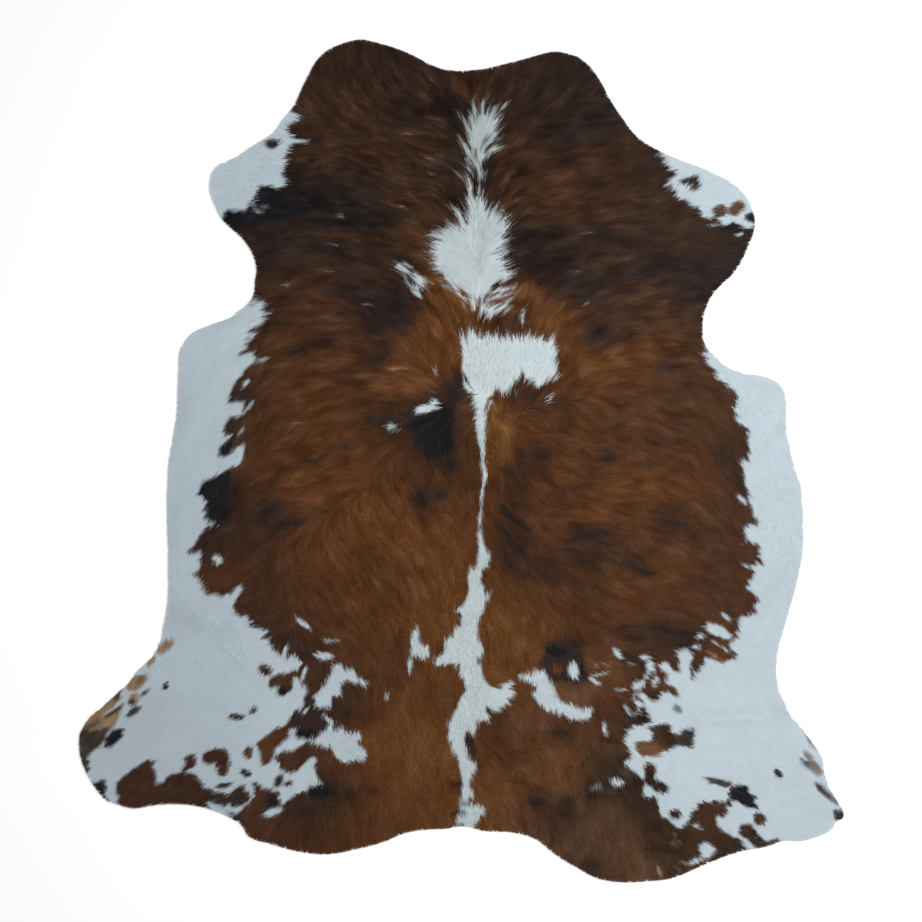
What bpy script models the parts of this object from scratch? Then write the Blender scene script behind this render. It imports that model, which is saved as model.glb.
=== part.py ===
"""Cowhide rug: one whole hide, tanned with the hair on, trimmed to its natural outline
and laid flat on the floor. Metres, +Z up, the neck at +Y and the tail edge at -Y."""

import math
from collections import namedtuple

import bmesh
import bpy

# ---- driving sizes, in metres ----
HIDE_LENGTH = 2.200       # neck lobe to rump lobe, along Y
LEATHER = 0.0025          # the skin itself
PILE_AT_RIM = 0.0022      # hair lying flat on the belly and leg edges
PILE_ON_BACK = 0.0026     # what the longer hair adds along the backbone
PILE_ON_NECK = 0.0016     # what the neck's still longer hair adds
BACKBONE_X = 0.03         # the backbone runs a little right of the box's middle
BACK_SPREAD = 0.36        # half-width over which the back's deeper hair fades out
NECK_FROM, NECK_FULL = 0.35, 0.85   # where along Y the neck's hair starts and is full
LEAST_THICKNESS = 0.0035

GRID_CELL = 0.031         # spacing of the modelled points on the hair side
CURVE_STEPS = 3           # segments between two outline landmarks
CUTTER_HEIGHT = 0.08      # tall enough to pass through the slab
SLAB_MARGIN = 0.06        # slab left over outside the outline, cut away
WELD = 0.00001            # joins the outline's caps to its wall
SMOOTH_UNDER = 40         # degrees: flatter edges are shaded smooth

HIDE_BROWN = (0.075, 0.036, 0.020, 1.0)   # most of the coat
HAIR_ROUGHNESS = 0.75

# ---- outline: landmarks in mm, clockwise from the left neck lobe, one list a stretch ----
# Columns: x across the hide, y along the backbone.
OUTLINE = {
    "neck": (
        (-442, 919), (-413, 978), (-381, 1040), (-352, 1070), (-317, 1087), (-265, 1100),
        (-223, 1092), (-148, 1068), (-84, 1036), (-44, 1021), (45, 1021), (98, 1032),
        (195, 1057), (240, 1069), (281, 1062), (313, 1049), (361, 994), (388, 942),
    ),
    "right foreleg": (
        (418, 898), (454, 850), (518, 808), (584, 781), (667, 747), (728, 708),
        (760, 656), (766, 615), (748, 561), (715, 497), (662, 445), (634, 389),
        (629, 345), (636, 300),
    ),
    "right flank": (
        (670, 267), (717, 237), (802, 222), (838, 198), (848, 163), (847, 105),
        (865, 8), (884, -52), (893, -160), (888, -257), (853, -401), (825, -504),
        (823, -572), (840, -626),
    ),
    "right hind leg": (
        (874, -682), (900, -708), (923, -747), (943, -780), (948, -819), (975, -876),
        (997, -912), (996, -934), (977, -942), (971, -958), (923, -984), (880, -993),
        (838, -992), (802, -1006), (726, -1020), (625, -1058), (548, -1090),
    ),
    "right rump": (
        (473, -1098), (425, -1100), (372, -1094), (341, -1084), (318, -1070),
        (267, -1041), (232, -1016), (200, -990), (138, -970), (62, -966),
    ),
    "left rump": (
        (3, -953), (-40, -960), (-102, -963), (-152, -973), (-202, -994), (-282, -1015),
        (-341, -1026), (-399, -1024), (-462, -1011), (-504, -998), (-555, -981),
    ),
    "left hind leg": (
        (-573, -952), (-605, -931), (-645, -914), (-709, -898), (-805, -899),
        (-852, -908), (-902, -896), (-928, -886), (-950, -862), (-986, -800),
        (-998, -752), (-991, -699), (-944, -643), (-894, -600), (-838, -538),
        (-799, -494),
    ),
    "left flank": (
        (-774, -415), (-766, -353), (-768, -111), (-763, 0), (-743, 119), (-738, 236),
        (-730, 306), (-706, 337), (-672, 354), (-603, 379), (-569, 398), (-544, 427),
    ),
    "left foreleg": (
        (-538, 471), (-534, 499), (-547, 547), (-577, 589), (-621, 628), (-643, 668),
        (-657, 722), (-635, 776), (-603, 786), (-534, 829), (-490, 857), (-470, 887),
    ),
}

# ---- soft creases and swells on the hair side ----
# x, y: middle in mm; length, width in mm; heading in degrees from +X; lift in mm, minus for a trough
Crease = namedtuple("Crease", "place x y length width heading lift")
CREASES = (
    Crease("neck seam", -20, 865, 330, 36, 92, -2.4),
    Crease("left neck swell", -210, 880, 420, 190, 80, 1.8),
    Crease("right neck swell", 190, 830, 420, 190, 98, 1.6),
    Crease("withers whorl", 55, 500, 210, 100, 90, -2.0),
    Crease("backbone", 50, -160, 1150, 64, 90, 1.6),
    Crease("left foreleg pull", -560, 720, 210, 60, 35, 1.5),
    Crease("right foreleg pull", 640, 640, 230, 60, -28, 1.5),
    Crease("left flank dent", -700, 75, 160, 60, 70, -1.4),
    Crease("right flank dent", 832, 105, 120, 50, 100, -1.2),
    Crease("right flank ripple", 835, -310, 150, 52, 62, 1.7),
    Crease("left thigh crease", -632, -487, 230, 40, -48, 2.6),
    Crease("left thigh trough", -597, -524, 210, 36, -48, -1.3),
    Crease("left thigh top crease", -683, -420, 150, 40, -27, 1.9),
    Crease("left hock swell", -850, -710, 260, 110, 48, 1.6),
    Crease("right thigh ripple", 715, -677, 260, 44, 3, 2.1),
    Crease("right thigh trough", 690, -622, 220, 42, 6, -1.2),
    Crease("right hock swell", 890, -880, 240, 100, -52, 1.6),
    Crease("right rump ripple", 150, -770, 250, 54, -32, 1.9),
    Crease("right rump trough", 130, -835, 240, 48, -30, -1.4),
    Crease("left rump swell", -240, -830, 300, 140, 70, 1.6),
    Crease("right back ripple", 150, -210, 260, 50, -58, 1.6),
    Crease("left back ripple", -190, -90, 280, 54, -122, 1.5),
)


def smooth_step(value, low, high):
    share = min(max((value - low) / (high - low), 0.0), 1.0)
    return share * share * (3 - 2 * share)


def crease_lift(crease, x, y):
    """A crease is round across and dies out towards its two ends."""
    along_x = math.cos(math.radians(crease.heading))
    along_y = math.sin(math.radians(crease.heading))
    off_x, off_y = x - crease.x / 1000, y - crease.y / 1000
    along = (off_x * along_x + off_y * along_y) / (crease.length / 2000)
    across = (off_y * along_x - off_x * along_y) / (crease.width / 2000)
    return crease.lift / 1000 * math.exp(-across * across - along * along)


def hide_thickness(x, y):
    """Leather and flat-lying hair together, at a point of the hide in metres."""
    pile = PILE_AT_RIM
    pile += PILE_ON_BACK * math.exp(-((x - BACKBONE_X) / BACK_SPREAD) ** 2)
    pile += PILE_ON_NECK * smooth_step(y, NECK_FROM, NECK_FULL)
    pile += sum(crease_lift(crease, x, y) for crease in CREASES)
    return max(LEATHER + pile, LEAST_THICKNESS)


def collection_named(name):
    collection = bpy.data.collections.new(name)
    bpy.context.scene.collection.children.link(collection)
    return collection


def clear_scene():
    for old in list(bpy.data.objects):
        bpy.data.objects.remove(old, do_unlink=True)


def outline_points():
    """The landmarks in metres, scaled to the hide's length and centred on its box."""
    points = [point for stretch in OUTLINE.values() for point in stretch]
    low_x, high_x = min(p[0] for p in points), max(p[0] for p in points)
    low_y, high_y = min(p[1] for p in points), max(p[1] for p in points)
    scale = HIDE_LENGTH / (high_y - low_y)
    middle_x, middle_y = (low_x + high_x) / 2, (low_y + high_y) / 2
    return [((x - middle_x) * scale, (y - middle_y) * scale) for x, y in points]


def outline_cutter(collection):
    """A tall prism of the hide's outline, made from one smooth closed curve."""
    curve = bpy.data.curves.new("outline_curve", "CURVE")
    curve.dimensions = "2D"
    curve.fill_mode = "BOTH"
    curve.extrude = CUTTER_HEIGHT / 2
    curve.resolution_u = CURVE_STEPS
    spline = curve.splines.new("BEZIER")
    points = outline_points()
    spline.bezier_points.add(len(points) - 1)
    for knot, (x, y) in zip(spline.bezier_points, points):
        knot.co = (x, y, 0)
        knot.handle_left_type = knot.handle_right_type = "AUTO"
    spline.use_cyclic_u = True
    guide = bpy.data.objects.new("outline_guide", curve)
    collection.objects.link(guide)

    bpy.context.view_layer.update()
    graph = bpy.context.evaluated_depsgraph_get()
    mesh = bpy.data.meshes.new_from_object(guide.evaluated_get(graph))
    shape = bmesh.new()
    shape.from_mesh(mesh)
    bmesh.ops.remove_doubles(shape, verts=shape.verts, dist=WELD)
    bmesh.ops.recalc_face_normals(shape, faces=shape.faces)
    shape.to_mesh(mesh)
    shape.free()

    cutter = bpy.data.objects.new("outline_cutter", mesh)
    cutter.matrix_world = guide.matrix_world
    cutter.hide_render = True
    cutter.display_type = "WIRE"
    collection.objects.link(cutter)
    bpy.data.objects.remove(guide, do_unlink=True)
    return cutter


def slab_mesh(width, length):
    """A slab with a flat underside, and the hide's thickness as its hair side."""
    half_x, half_y = width / 2 + SLAB_MARGIN, length / 2 + SLAB_MARGIN
    columns, rows = round(2 * half_x / GRID_CELL), round(2 * half_y / GRID_CELL)
    slab = bmesh.new()
    bmesh.ops.create_grid(slab, x_segments=columns, y_segments=rows, size=1.0)
    for vertex in slab.verts:
        x, y = vertex.co.x * half_x, vertex.co.y * half_y
        vertex.co = (x, y, hide_thickness(x, y))
    rim = [edge for edge in slab.edges if edge.is_boundary]
    walls = bmesh.ops.extrude_edge_only(slab, edges=rim)["geom"]
    for vertex in (part for part in walls if isinstance(part, bmesh.types.BMVert)):
        vertex.co.z = 0.0
    bmesh.ops.holes_fill(slab, edges=[edge for edge in slab.edges if edge.is_boundary])
    bmesh.ops.recalc_face_normals(slab, faces=slab.faces)
    mesh = bpy.data.meshes.new("hide")
    slab.to_mesh(mesh)
    slab.free()
    return mesh


def coat_material():
    material = bpy.data.materials.new("brown_hair")
    material.use_nodes = True
    shader = material.node_tree.nodes["Principled BSDF"]
    shader.inputs["Base Color"].default_value = HIDE_BROWN
    shader.inputs["Roughness"].default_value = HAIR_ROUGHNESS
    material.diffuse_color = HIDE_BROWN
    return material


def make_hide(collection, cutter):
    """The slab cut to the outline: the sheet of leather with its hair."""
    hide = bpy.data.objects.new("hide", slab_mesh(cutter.dimensions.x, cutter.dimensions.y))
    hide.data.materials.append(coat_material())
    collection.objects.link(hide)
    trim = hide.modifiers.new("trim_to_outline", "BOOLEAN")
    trim.operation = "INTERSECT"
    trim.solver = "EXACT"
    trim.object = cutter
    hide.data.shade_smooth()
    hide.data.set_sharp_from_angle(angle=math.radians(SMOOTH_UNDER))
    return hide


clear_scene()
rug = collection_named("cowhide_rug")
cutters = collection_named("cutters")
outline = outline_cutter(cutters)
bpy.context.view_layer.update()
make_hide(rug, outline)
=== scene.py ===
import math
from collections import namedtuple

import bmesh
import bpy
import numpy as np
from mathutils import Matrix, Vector
from mathutils.bvhtree import BVHTree


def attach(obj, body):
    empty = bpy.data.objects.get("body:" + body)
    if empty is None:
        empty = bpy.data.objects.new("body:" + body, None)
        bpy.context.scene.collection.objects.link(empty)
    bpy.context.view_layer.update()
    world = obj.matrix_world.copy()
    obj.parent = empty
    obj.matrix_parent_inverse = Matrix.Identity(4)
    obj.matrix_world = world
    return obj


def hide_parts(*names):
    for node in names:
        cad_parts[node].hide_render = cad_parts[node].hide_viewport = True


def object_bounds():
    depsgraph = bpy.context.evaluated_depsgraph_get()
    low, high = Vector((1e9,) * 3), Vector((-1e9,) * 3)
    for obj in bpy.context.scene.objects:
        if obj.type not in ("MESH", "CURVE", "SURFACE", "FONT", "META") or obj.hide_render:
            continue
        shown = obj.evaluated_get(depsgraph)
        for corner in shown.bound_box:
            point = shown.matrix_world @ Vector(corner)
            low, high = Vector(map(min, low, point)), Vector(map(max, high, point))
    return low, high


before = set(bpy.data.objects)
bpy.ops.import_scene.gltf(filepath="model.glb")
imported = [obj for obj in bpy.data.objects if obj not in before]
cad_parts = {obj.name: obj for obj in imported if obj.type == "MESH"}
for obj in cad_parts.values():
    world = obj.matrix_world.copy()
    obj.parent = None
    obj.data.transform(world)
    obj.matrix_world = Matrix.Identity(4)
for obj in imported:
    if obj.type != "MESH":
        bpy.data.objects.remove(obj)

cad_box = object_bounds()

# ==== The shape of the hide ====
# The frame's solid is the skin with its hair pressed flat. Its rim and its height are read from it,
# in millimetres, on a chart of small cells that everything after this is laid out on.
CELL = 3.0                # side of a chart cell
CHART_MARGIN = 24.0       # chart left over round the hide
RIM_WELD = 0.00001        # metres: joins the solid's loose triangles at their corners
HEIGHT_AT_RIM = 4.7       # where a hair tip hangs just past the rim
FACES_DOWN = -0.9         # a face of the underside has a normal lower than this
FACES_OUT = 0.5           # and a face of the edge one that is nearer level than this
RAY_FROM = 0.1            # metres, well above the hide
LAST_CELL = 1.001         # keeps a reading just inside the chart's last cell

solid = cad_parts["hide"]
merged = bmesh.new()
merged.from_mesh(solid.data)
bmesh.ops.remove_doubles(merged, verts=merged.verts, dist=RIM_WELD)


def rim_of(shape):
    """The corners round the flat underside, in order, in millimetres."""
    steps = {}
    for edge in shape.edges:
        down = [face for face in edge.link_faces if face.normal.z < FACES_DOWN]
        side = [face for face in edge.link_faces if abs(face.normal.z) < FACES_OUT]
        if down and side:
            one, other = edge.verts
            steps.setdefault(one, []).append(other)
            steps.setdefault(other, []).append(one)
    start = here = next(iter(steps))
    before, corners = None, []
    while True:
        corners.append((here.co.x * 1000, here.co.y * 1000))
        after = next(vert for vert in steps[here] if vert is not before)
        before, here = here, after
        if here is start:
            return np.array(corners)


rim = rim_of(merged)
low, high = rim.min(axis=0) - CHART_MARGIN, rim.max(axis=0) + CHART_MARGIN
columns = np.arange(low[0], high[0] + CELL, CELL)
rows = np.arange(low[1], high[1] + CELL, CELL)
chart_x, chart_y = np.meshgrid(columns, rows)


def on_chart(field, x, y):
    """Reads a chart between its cells, at points in millimetres."""
    across = np.clip((x - low[0]) / CELL, 0, field.shape[1] - LAST_CELL)
    along = np.clip((y - low[1]) / CELL, 0, field.shape[0] - LAST_CELL)
    column, row = across.astype(int), along.astype(int)
    across, along = across - column, along - row
    near = field[row, column] * (1 - across) + field[row, column + 1] * across
    far = field[row + 1, column] * (1 - across) + field[row + 1, column + 1] * across
    return near * (1 - along) + far * along


def depth_inside(x, y, ring):
    """How deep each point lies inside a closed ring, and how far outside it with a minus."""
    nearest, inside = np.full(x.shape, np.inf), np.zeros(x.shape, bool)
    for (from_x, from_y), (to_x, to_y) in zip(ring, np.roll(ring, -1, axis=0)):
        run_x, run_y = to_x - from_x, to_y - from_y
        share = ((x - from_x) * run_x + (y - from_y) * run_y) / (run_x**2 + run_y**2)
        share = np.clip(share, 0, 1)
        off = (x - from_x - share * run_x) ** 2 + (y - from_y - share * run_y) ** 2
        nearest = np.minimum(nearest, off)
        if run_y:
            level = (from_y > y) != (to_y > y)
            inside ^= level & (x < from_x + (y - from_y) * run_x / run_y)
    return np.where(inside, 1, -1) * np.sqrt(nearest)


def depth_near(x, y, ring, reach):
    """The same depth, worked out only within reach of the ring, and minus reach beyond."""
    depth = np.full(x.shape, -reach)
    near = (x > ring[:, 0].min() - reach) & (x < ring[:, 0].max() + reach)
    near &= (y > ring[:, 1].min() - reach) & (y < ring[:, 1].max() + reach)
    depth[near] = depth_inside(x[near], y[near], ring)
    return depth


COARSE = 3                # the rim's depth is worked out on every third cell and read between
coarse_x, coarse_y = chart_x[::COARSE, ::COARSE], chart_y[::COARSE, ::COARSE]
coarse_depth = depth_inside(coarse_x, coarse_y, rim)
coarse_top = np.full(coarse_x.shape, HEIGHT_AT_RIM)
tree = BVHTree.FromBMesh(merged)
for row, column in np.argwhere(coarse_depth > 0):
    above = Vector((coarse_x[row, column] / 1000, coarse_y[row, column] / 1000, RAY_FROM))
    hit = tree.ray_cast(above, Vector((0, 0, -1)))[0]
    if hit:
        coarse_top[row, column] = hit.z * 1000
merged.free()


def refined(field):
    """A chart on all of the small cells, from one on every third."""
    across = (chart_x - low[0]) / (CELL * COARSE)
    along = (chart_y - low[1]) / (CELL * COARSE)
    return on_chart(field, across * CELL + low[0], along * CELL + low[1])


rim_depth = refined(coarse_depth)
top_height = refined(coarse_top)

# ==== The lie of the hair ====
# Hair grows forward and outward on the neck and withers, outward on the ribs, and back towards
# the tail over the loin and hips. It turns at a whorl on the withers.
# Columns: x and y in mm, heading in degrees from +X towards +Y, reach in mm.
Lie = namedtuple("Lie", "x y heading reach")
LIE = [Lie(*row) for row in (
    # neck, the streak along it and the whorl
    (45, 970, 90, 60), (70, 890, 62, 35), (15, 890, 122, 35), (120, 890, 35, 50),
    (-30, 890, 155, 50), (65, 790, 70, 30), (20, 790, 118, 30), (110, 790, 45, 50),
    (-30, 780, 160, 50), (45, 710, 92, 35), (-25, 700, 135, 40), (95, 700, 50, 40),
    (50, 630, 90, 35), (5, 630, 132, 35), (-60, 640, 150, 40), (100, 635, 52, 35),
    (-15, 570, 158, 35), (-80, 560, 178, 40), (95, 570, 38, 35), (135, 560, 22, 40),
    (50, 545, 92, 22), (15, 505, 155, 28), (85, 505, 30, 28), (-45, 505, 165, 35),
    (125, 505, 25, 35), (15, 445, 150, 28), (80, 435, 12, 28), (122, 440, 30, 25),
    (-35, 455, 136, 30), (48, 470, 90, 14), (95, 395, 14, 22), (62, 375, 25, 16),
    (25, 395, 150, 18), (-120, 470, 130, 40), (-170, 430, 152, 50), (60, 350, 88, 40),
    (0, 370, 112, 30),
    # left side of the neck and left shoulder
    (-100, 960, 145, 70), (-190, 920, 140, 50), (-250, 880, 175, 70), (-350, 870, 172, 70),
    (-260, 980, 98, 60), (-300, 1060, 100, 60), (-380, 980, 112, 60), (-200, 1040, 105, 70),
    (-100, 850, 165, 60), (-100, 780, 174, 60), (-200, 790, 172, 80), (-320, 770, 175, 80),
    (-430, 790, 178, 60), (-150, 690, 155, 60), (-300, 690, 172, 80), (-450, 690, 186, 80),
    (-560, 720, 202, 70), (-600, 660, 208, 60), (-250, 590, 172, 80), (-400, 570, 180, 80),
    (-510, 570, 192, 70), (-330, 535, 152, 35), (-250, 480, 168, 60), (-400, 460, 182, 80),
    (-500, 470, 190, 60), (-250, 400, 157, 60), (-380, 400, 180, 60), (-490, 385, 210, 50),
    (-150, 370, 150, 60), (-70, 350, 110, 50), (-60, 270, 100, 60),
    # right side of the neck and right shoulder
    (120, 970, 55, 60), (220, 1000, 60, 80), (300, 1030, 62, 60), (200, 900, 15, 70),
    (350, 900, 8, 80), (180, 800, 8, 70), (300, 780, 5, 80), (430, 820, 18, 70), (480, 770, 32, 60),
    (180, 700, 22, 60), (320, 690, 3, 80), (450, 700, 12, 70), (560, 700, 30, 60),
    (680, 680, 12, 70), (250, 620, 6, 80), (400, 600, -4, 80), (560, 640, 55, 40),
    (620, 590, 20, 60), (700, 600, 5, 60), (200, 540, 8, 60), (330, 520, 12, 60), (500, 510, 6, 70),
    (650, 500, -6, 70), (270, 460, 14, 50), (400, 440, 10, 60), (560, 430, -4, 70),
    (160, 450, 62, 40), (200, 420, 50, 40), (300, 400, 38, 50), (370, 350, 36, 50),
    (470, 360, 22, 50), (580, 350, 2, 50), (160, 360, 84, 40), (250, 340, 70, 40),
    # the bar across the back and what lies round it
    (40, 300, 92, 50), (130, 300, 88, 50), (220, 300, 80, 40), (120, 230, 90, 50),
    (220, 230, 85, 40), (60, 180, 92, 40), (160, 180, 88, 40), (300, 260, 38, 60),
    (400, 260, 8, 60), (520, 260, -4, 60), (630, 230, -26, 50), (300, 180, 20, 50),
    (400, 160, -4, 60), (-20, 190, 130, 40), (-10, 125, 200, 35), (125, 155, 75, 24),
    (20, 160, 262, 20), (50, 175, 268, 22), (85, 150, 275, 20), (51, 130, 268, 22),
    (52, 84, 268, 24), (110, 60, -70, 30), (200, 110, -40, 40), (55, 40, 268, 40),
    (-10, 40, 262, 40),
    # left ribs and flank
    (-430, 290, 205, 60), (-540, 300, 216, 60), (-300, 290, 184, 70), (-180, 240, 176, 60),
    (-360, 190, 184, 70), (-460, 150, 206, 60), (-540, 150, 235, 50), (-600, 60, 240, 60),
    (-700, 200, 232, 90), (-250, 150, 182, 60), (-150, 150, 190, 50), (-350, 40, 198, 70),
    (-460, 10, 212, 70), (-230, 50, 200, 50), (-140, 60, 225, 50), (-60, 80, 240, 40),
    (-100, -60, 300, 50), (-200, -80, 308, 50), (-300, -60, 205, 50), (-420, -90, 198, 60),
    (-520, -120, 212, 60), (-620, -100, 225, 60), (-700, -50, 245, 90), (-700, -250, 245, 90),
    (-420, -160, 197, 50), (-330, -190, 322, 40), (-230, -190, 300, 60), (-100, -200, 303, 60),
    (-540, -230, 216, 60), (-600, -310, 222, 60), (-430, -280, 300, 50), (-330, -300, 312, 60),
    (-200, -320, 303, 70),
    # right ribs and flank
    (320, 110, -82, 40), (450, 150, -8, 60), (560, 150, -18, 60), (680, 160, -30, 60),
    (250, 20, -25, 50), (380, 20, -10, 60), (500, 40, -10, 70), (600, 50, -30, 60),
    (655, 10, -68, 35), (720, 40, -55, 50), (800, 80, -72, 90), (130, -60, -60, 60),
    (250, -70, -12, 60), (400, -60, 4, 60), (560, -30, -22, 60), (700, -60, -48, 60),
    (840, -100, -75, 90), (150, -170, -48, 60), (280, -150, -20, 60), (420, -150, -8, 60),
    (560, -150, -12, 60), (660, -130, -42, 50), (760, -180, -52, 70), (840, -300, -68, 90),
    (150, -260, -58, 50), (260, -240, -10, 50), (360, -260, -38, 50), (460, -260, -34, 50),
    (580, -230, -12, 60), (700, -290, -25, 70), (200, -350, -60, 70), (330, -350, -45, 60),
    (450, -360, -25, 70), (580, -350, -15, 70),
    # loin and hips
    (60, -120, 268, 40), (60, -230, 275, 40), (20, -320, 262, 40), (60, -330, 285, 30),
    (20, -420, 258, 40), (-40, -500, 222, 30), (50, -460, 280, 40), (20, -560, 268, 50),
    (-60, -420, 285, 60), (-130, -480, 266, 50), (-150, -400, 292, 60), (-280, -440, 300, 60),
    (-400, -440, 326, 45), (-350, -500, 350, 40), (-500, -440, 195, 50), (-470, -510, 250, 30),
    (-100, -620, 272, 70), (-220, -640, 278, 70), (-300, -560, 300, 50), (-380, -600, 258, 40),
    (-310, -700, 290, 50), (-300, -790, 305, 50), (-180, -780, 275, 90), (-200, -930, 274, 90),
    (-350, -950, 272, 80), (10, -660, 245, 40), (40, -690, 310, 30), (-10, -750, 240, 30),
    (25, -800, 290, 40), (20, -900, 268, 40), (100, -590, 30, 35), (110, -650, 320, 30),
    (150, -430, -75, 60), (260, -450, -68, 60), (180, -520, -85, 50), (200, -560, 250, 40),
    (290, -540, -80, 40), (300, -640, -88, 50), (380, -600, -60, 50), (350, -560, 15, 30),
    (200, -700, -80, 60), (150, -800, -35, 60), (300, -760, -70, 70), (280, -900, -88, 80),
    (420, -1000, -88, 80), (420, -850, -70, 60), (90, -900, -70, 60),
    # left hind leg
    (-450, -600, 245, 50), (-440, -700, 222, 50), (-420, -790, 240, 50), (-480, -880, 214, 50),
    (-600, -450, 236, 80), (-620, -600, 232, 80), (-550, -700, 225, 70), (-560, -850, 215, 60),
    (-700, -520, 236, 70), (-720, -680, 224, 80), (-700, -850, 212, 70), (-850, -680, 226, 80),
    (-880, -820, 214, 80), (-560, -950, 225, 50),
    # right hind leg
    (450, -440, -12, 60), (560, -460, -12, 60), (680, -430, -32, 60), (760, -450, -55, 70),
    (480, -530, -25, 50), (560, -560, -35, 50), (450, -620, -45, 40), (480, -720, -12, 60),
    (640, -620, -40, 80), (800, -600, -58, 80), (560, -760, -15, 60), (680, -740, -32, 80),
    (820, -760, -42, 80), (650, -850, -14, 50), (740, -870, -40, 50), (900, -850, -48, 80),
    (600, -960, -30, 50), (700, -960, -35, 60), (520, -960, -60, 50), (600, -1030, -35, 50),
    (820, -950, -40, 70),
)]
FAR_SHARE = 0.0004        # how much a lie still counts beyond its own reach
FAR_REACH = 260.0         # mm


def blended(rows, x, y, values):
    """Each row's values, weighed by how near the row is: a smooth chart from scattered rows."""
    total = np.zeros(x.shape)
    sums = [np.zeros(x.shape) for _ in values(rows[0])]
    for row in rows:
        off = (x - row.x) ** 2 + (y - row.y) ** 2
        weight = np.exp(-off / (2 * row.reach**2))
        weight += FAR_SHARE * np.exp(-off / (2 * FAR_REACH**2))
        total += weight
        for kept, value in zip(sums, values(row)):
            kept += weight * value
    return [kept / total for kept in sums]


def heading_of(row):
    return math.cos(math.radians(row.heading)), math.sin(math.radians(row.heading))


lie_x, lie_y = blended(LIE, coarse_x, coarse_y, heading_of)
lie_x, lie_y = refined(lie_x), refined(lie_y)
COMB_STEP = 6.0           # millimetres between two readings along a hair
SPARE_CELLS = 3           # cells of noise left over past the chart's far edges
NO_LENGTH = 1e-6          # anything shorter has no heading


def normed(x, y):
    length = np.maximum(np.hypot(x, y), NO_LENGTH)
    return x / length, y / length


def turned(x, y, angle):
    """A heading turned from +X towards +Y by an angle in radians."""
    return x * np.cos(angle) - y * np.sin(angle), x * np.sin(angle) + y * np.cos(angle)


def combed(grain, reach, seed):
    """Noise drawn out along the hair, its grain and reach in mm, with mean 0 and spread 1."""
    dice = np.random.default_rng(seed)
    wide = int((high[0] - low[0]) / grain) + SPARE_CELLS
    tall = int((high[1] - low[1]) / grain) + SPARE_CELLS
    spots = dice.standard_normal((tall, wide))
    base = on_chart(
        spots,
        (chart_x - low[0]) / grain * CELL + low[0],
        (chart_y - low[1]) / grain * CELL + low[1],
    )
    total = base.copy()
    for way in (COMB_STEP, -COMB_STEP):
        x, y = chart_x.copy(), chart_y.copy()
        for _ in range(int(reach / COMB_STEP)):
            step_x, step_y = normed(on_chart(lie_x, x, y), on_chart(lie_y, x, y))
            x += way * step_x
            y += way * step_y
            total += on_chart(base, x, y)
    return (total - total.mean()) / total.std()


Level = namedtuple("Level", "x y level reach")


def charted(rows):
    """One measure all over the hide, from rows of x and y in mm, its level and reach in mm."""
    levels = [Level(*row) for row in rows]
    (coarse,) = blended(levels, coarse_x, coarse_y, lambda row: (row.level,))
    return refined(coarse)


# Hair length: x, y, length in mm, reach in mm.
GROWTHS = (
    (60, -950, 22, 90), (50, 900, 38, 90), (50, 720, 46, 80), (40, 560, 46, 90), (40, 430, 40, 70),
    (-200, 950, 34, 120), (250, 950, 34, 120), (-250, 760, 38, 120), (300, 760, 38, 120),
    (-450, 700, 30, 100), (500, 700, 30, 100), (-300, 550, 36, 120), (350, 520, 36, 120),
    (0, 280, 34, 110), (150, 260, 32, 90), (-300, 300, 34, 130), (400, 300, 34, 130),
    (0, 50, 28, 120), (-350, 0, 32, 150), (450, 0, 32, 150), (0, -200, 26, 120),
    (-300, -300, 28, 150), (400, -300, 28, 150), (0, -450, 26, 120), (0, -700, 24, 150),
    (-250, -800, 24, 150), (300, -850, 24, 150), (-450, -620, 22, 120), (480, -620, 22, 120),
    (-690, 100, 24, 120), (-690, -250, 24, 120), (800, 0, 24, 120), (820, -350, 24, 120),
    (-700, -650, 20, 130), (-880, -780, 17, 90), (720, -750, 20, 130), (900, -900, 17, 90),
    (-560, 820, 20, 90), (680, 680, 20, 90), (-300, 1060, 26, 60), (250, 1040, 26, 60),
    (300, -1050, 24, 100), (-350, -980, 24, 90),
)
SHORT_HAIR = 14           # mm, about the shortest of the coat
length_chart = charted(GROWTHS)


def hair_share(spread, least, most):
    """A share that grows with the hair's length, by 1 for each spread in mm over the shortest."""
    return np.clip((length_chart - SHORT_HAIR) / spread, least, most)


BEND_GRAIN, BEND_TURN = 30.0, 9.0     # slow bends of the coat: their size, and degrees of turn
lie_x, lie_y = normed(lie_x, lie_y)
bend = np.radians(BEND_TURN) * combed(BEND_GRAIN, reach=0, seed=3)
lie_x, lie_y = turned(lie_x, lie_y, bend)
fine_comb = combed(grain=3.2, reach=12, seed=5)
mid_comb = combed(grain=7.0, reach=12, seed=7)
broad_comb = combed(grain=14.0, reach=18, seed=9)
mottle = combed(grain=26.0, reach=12, seed=21)

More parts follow.
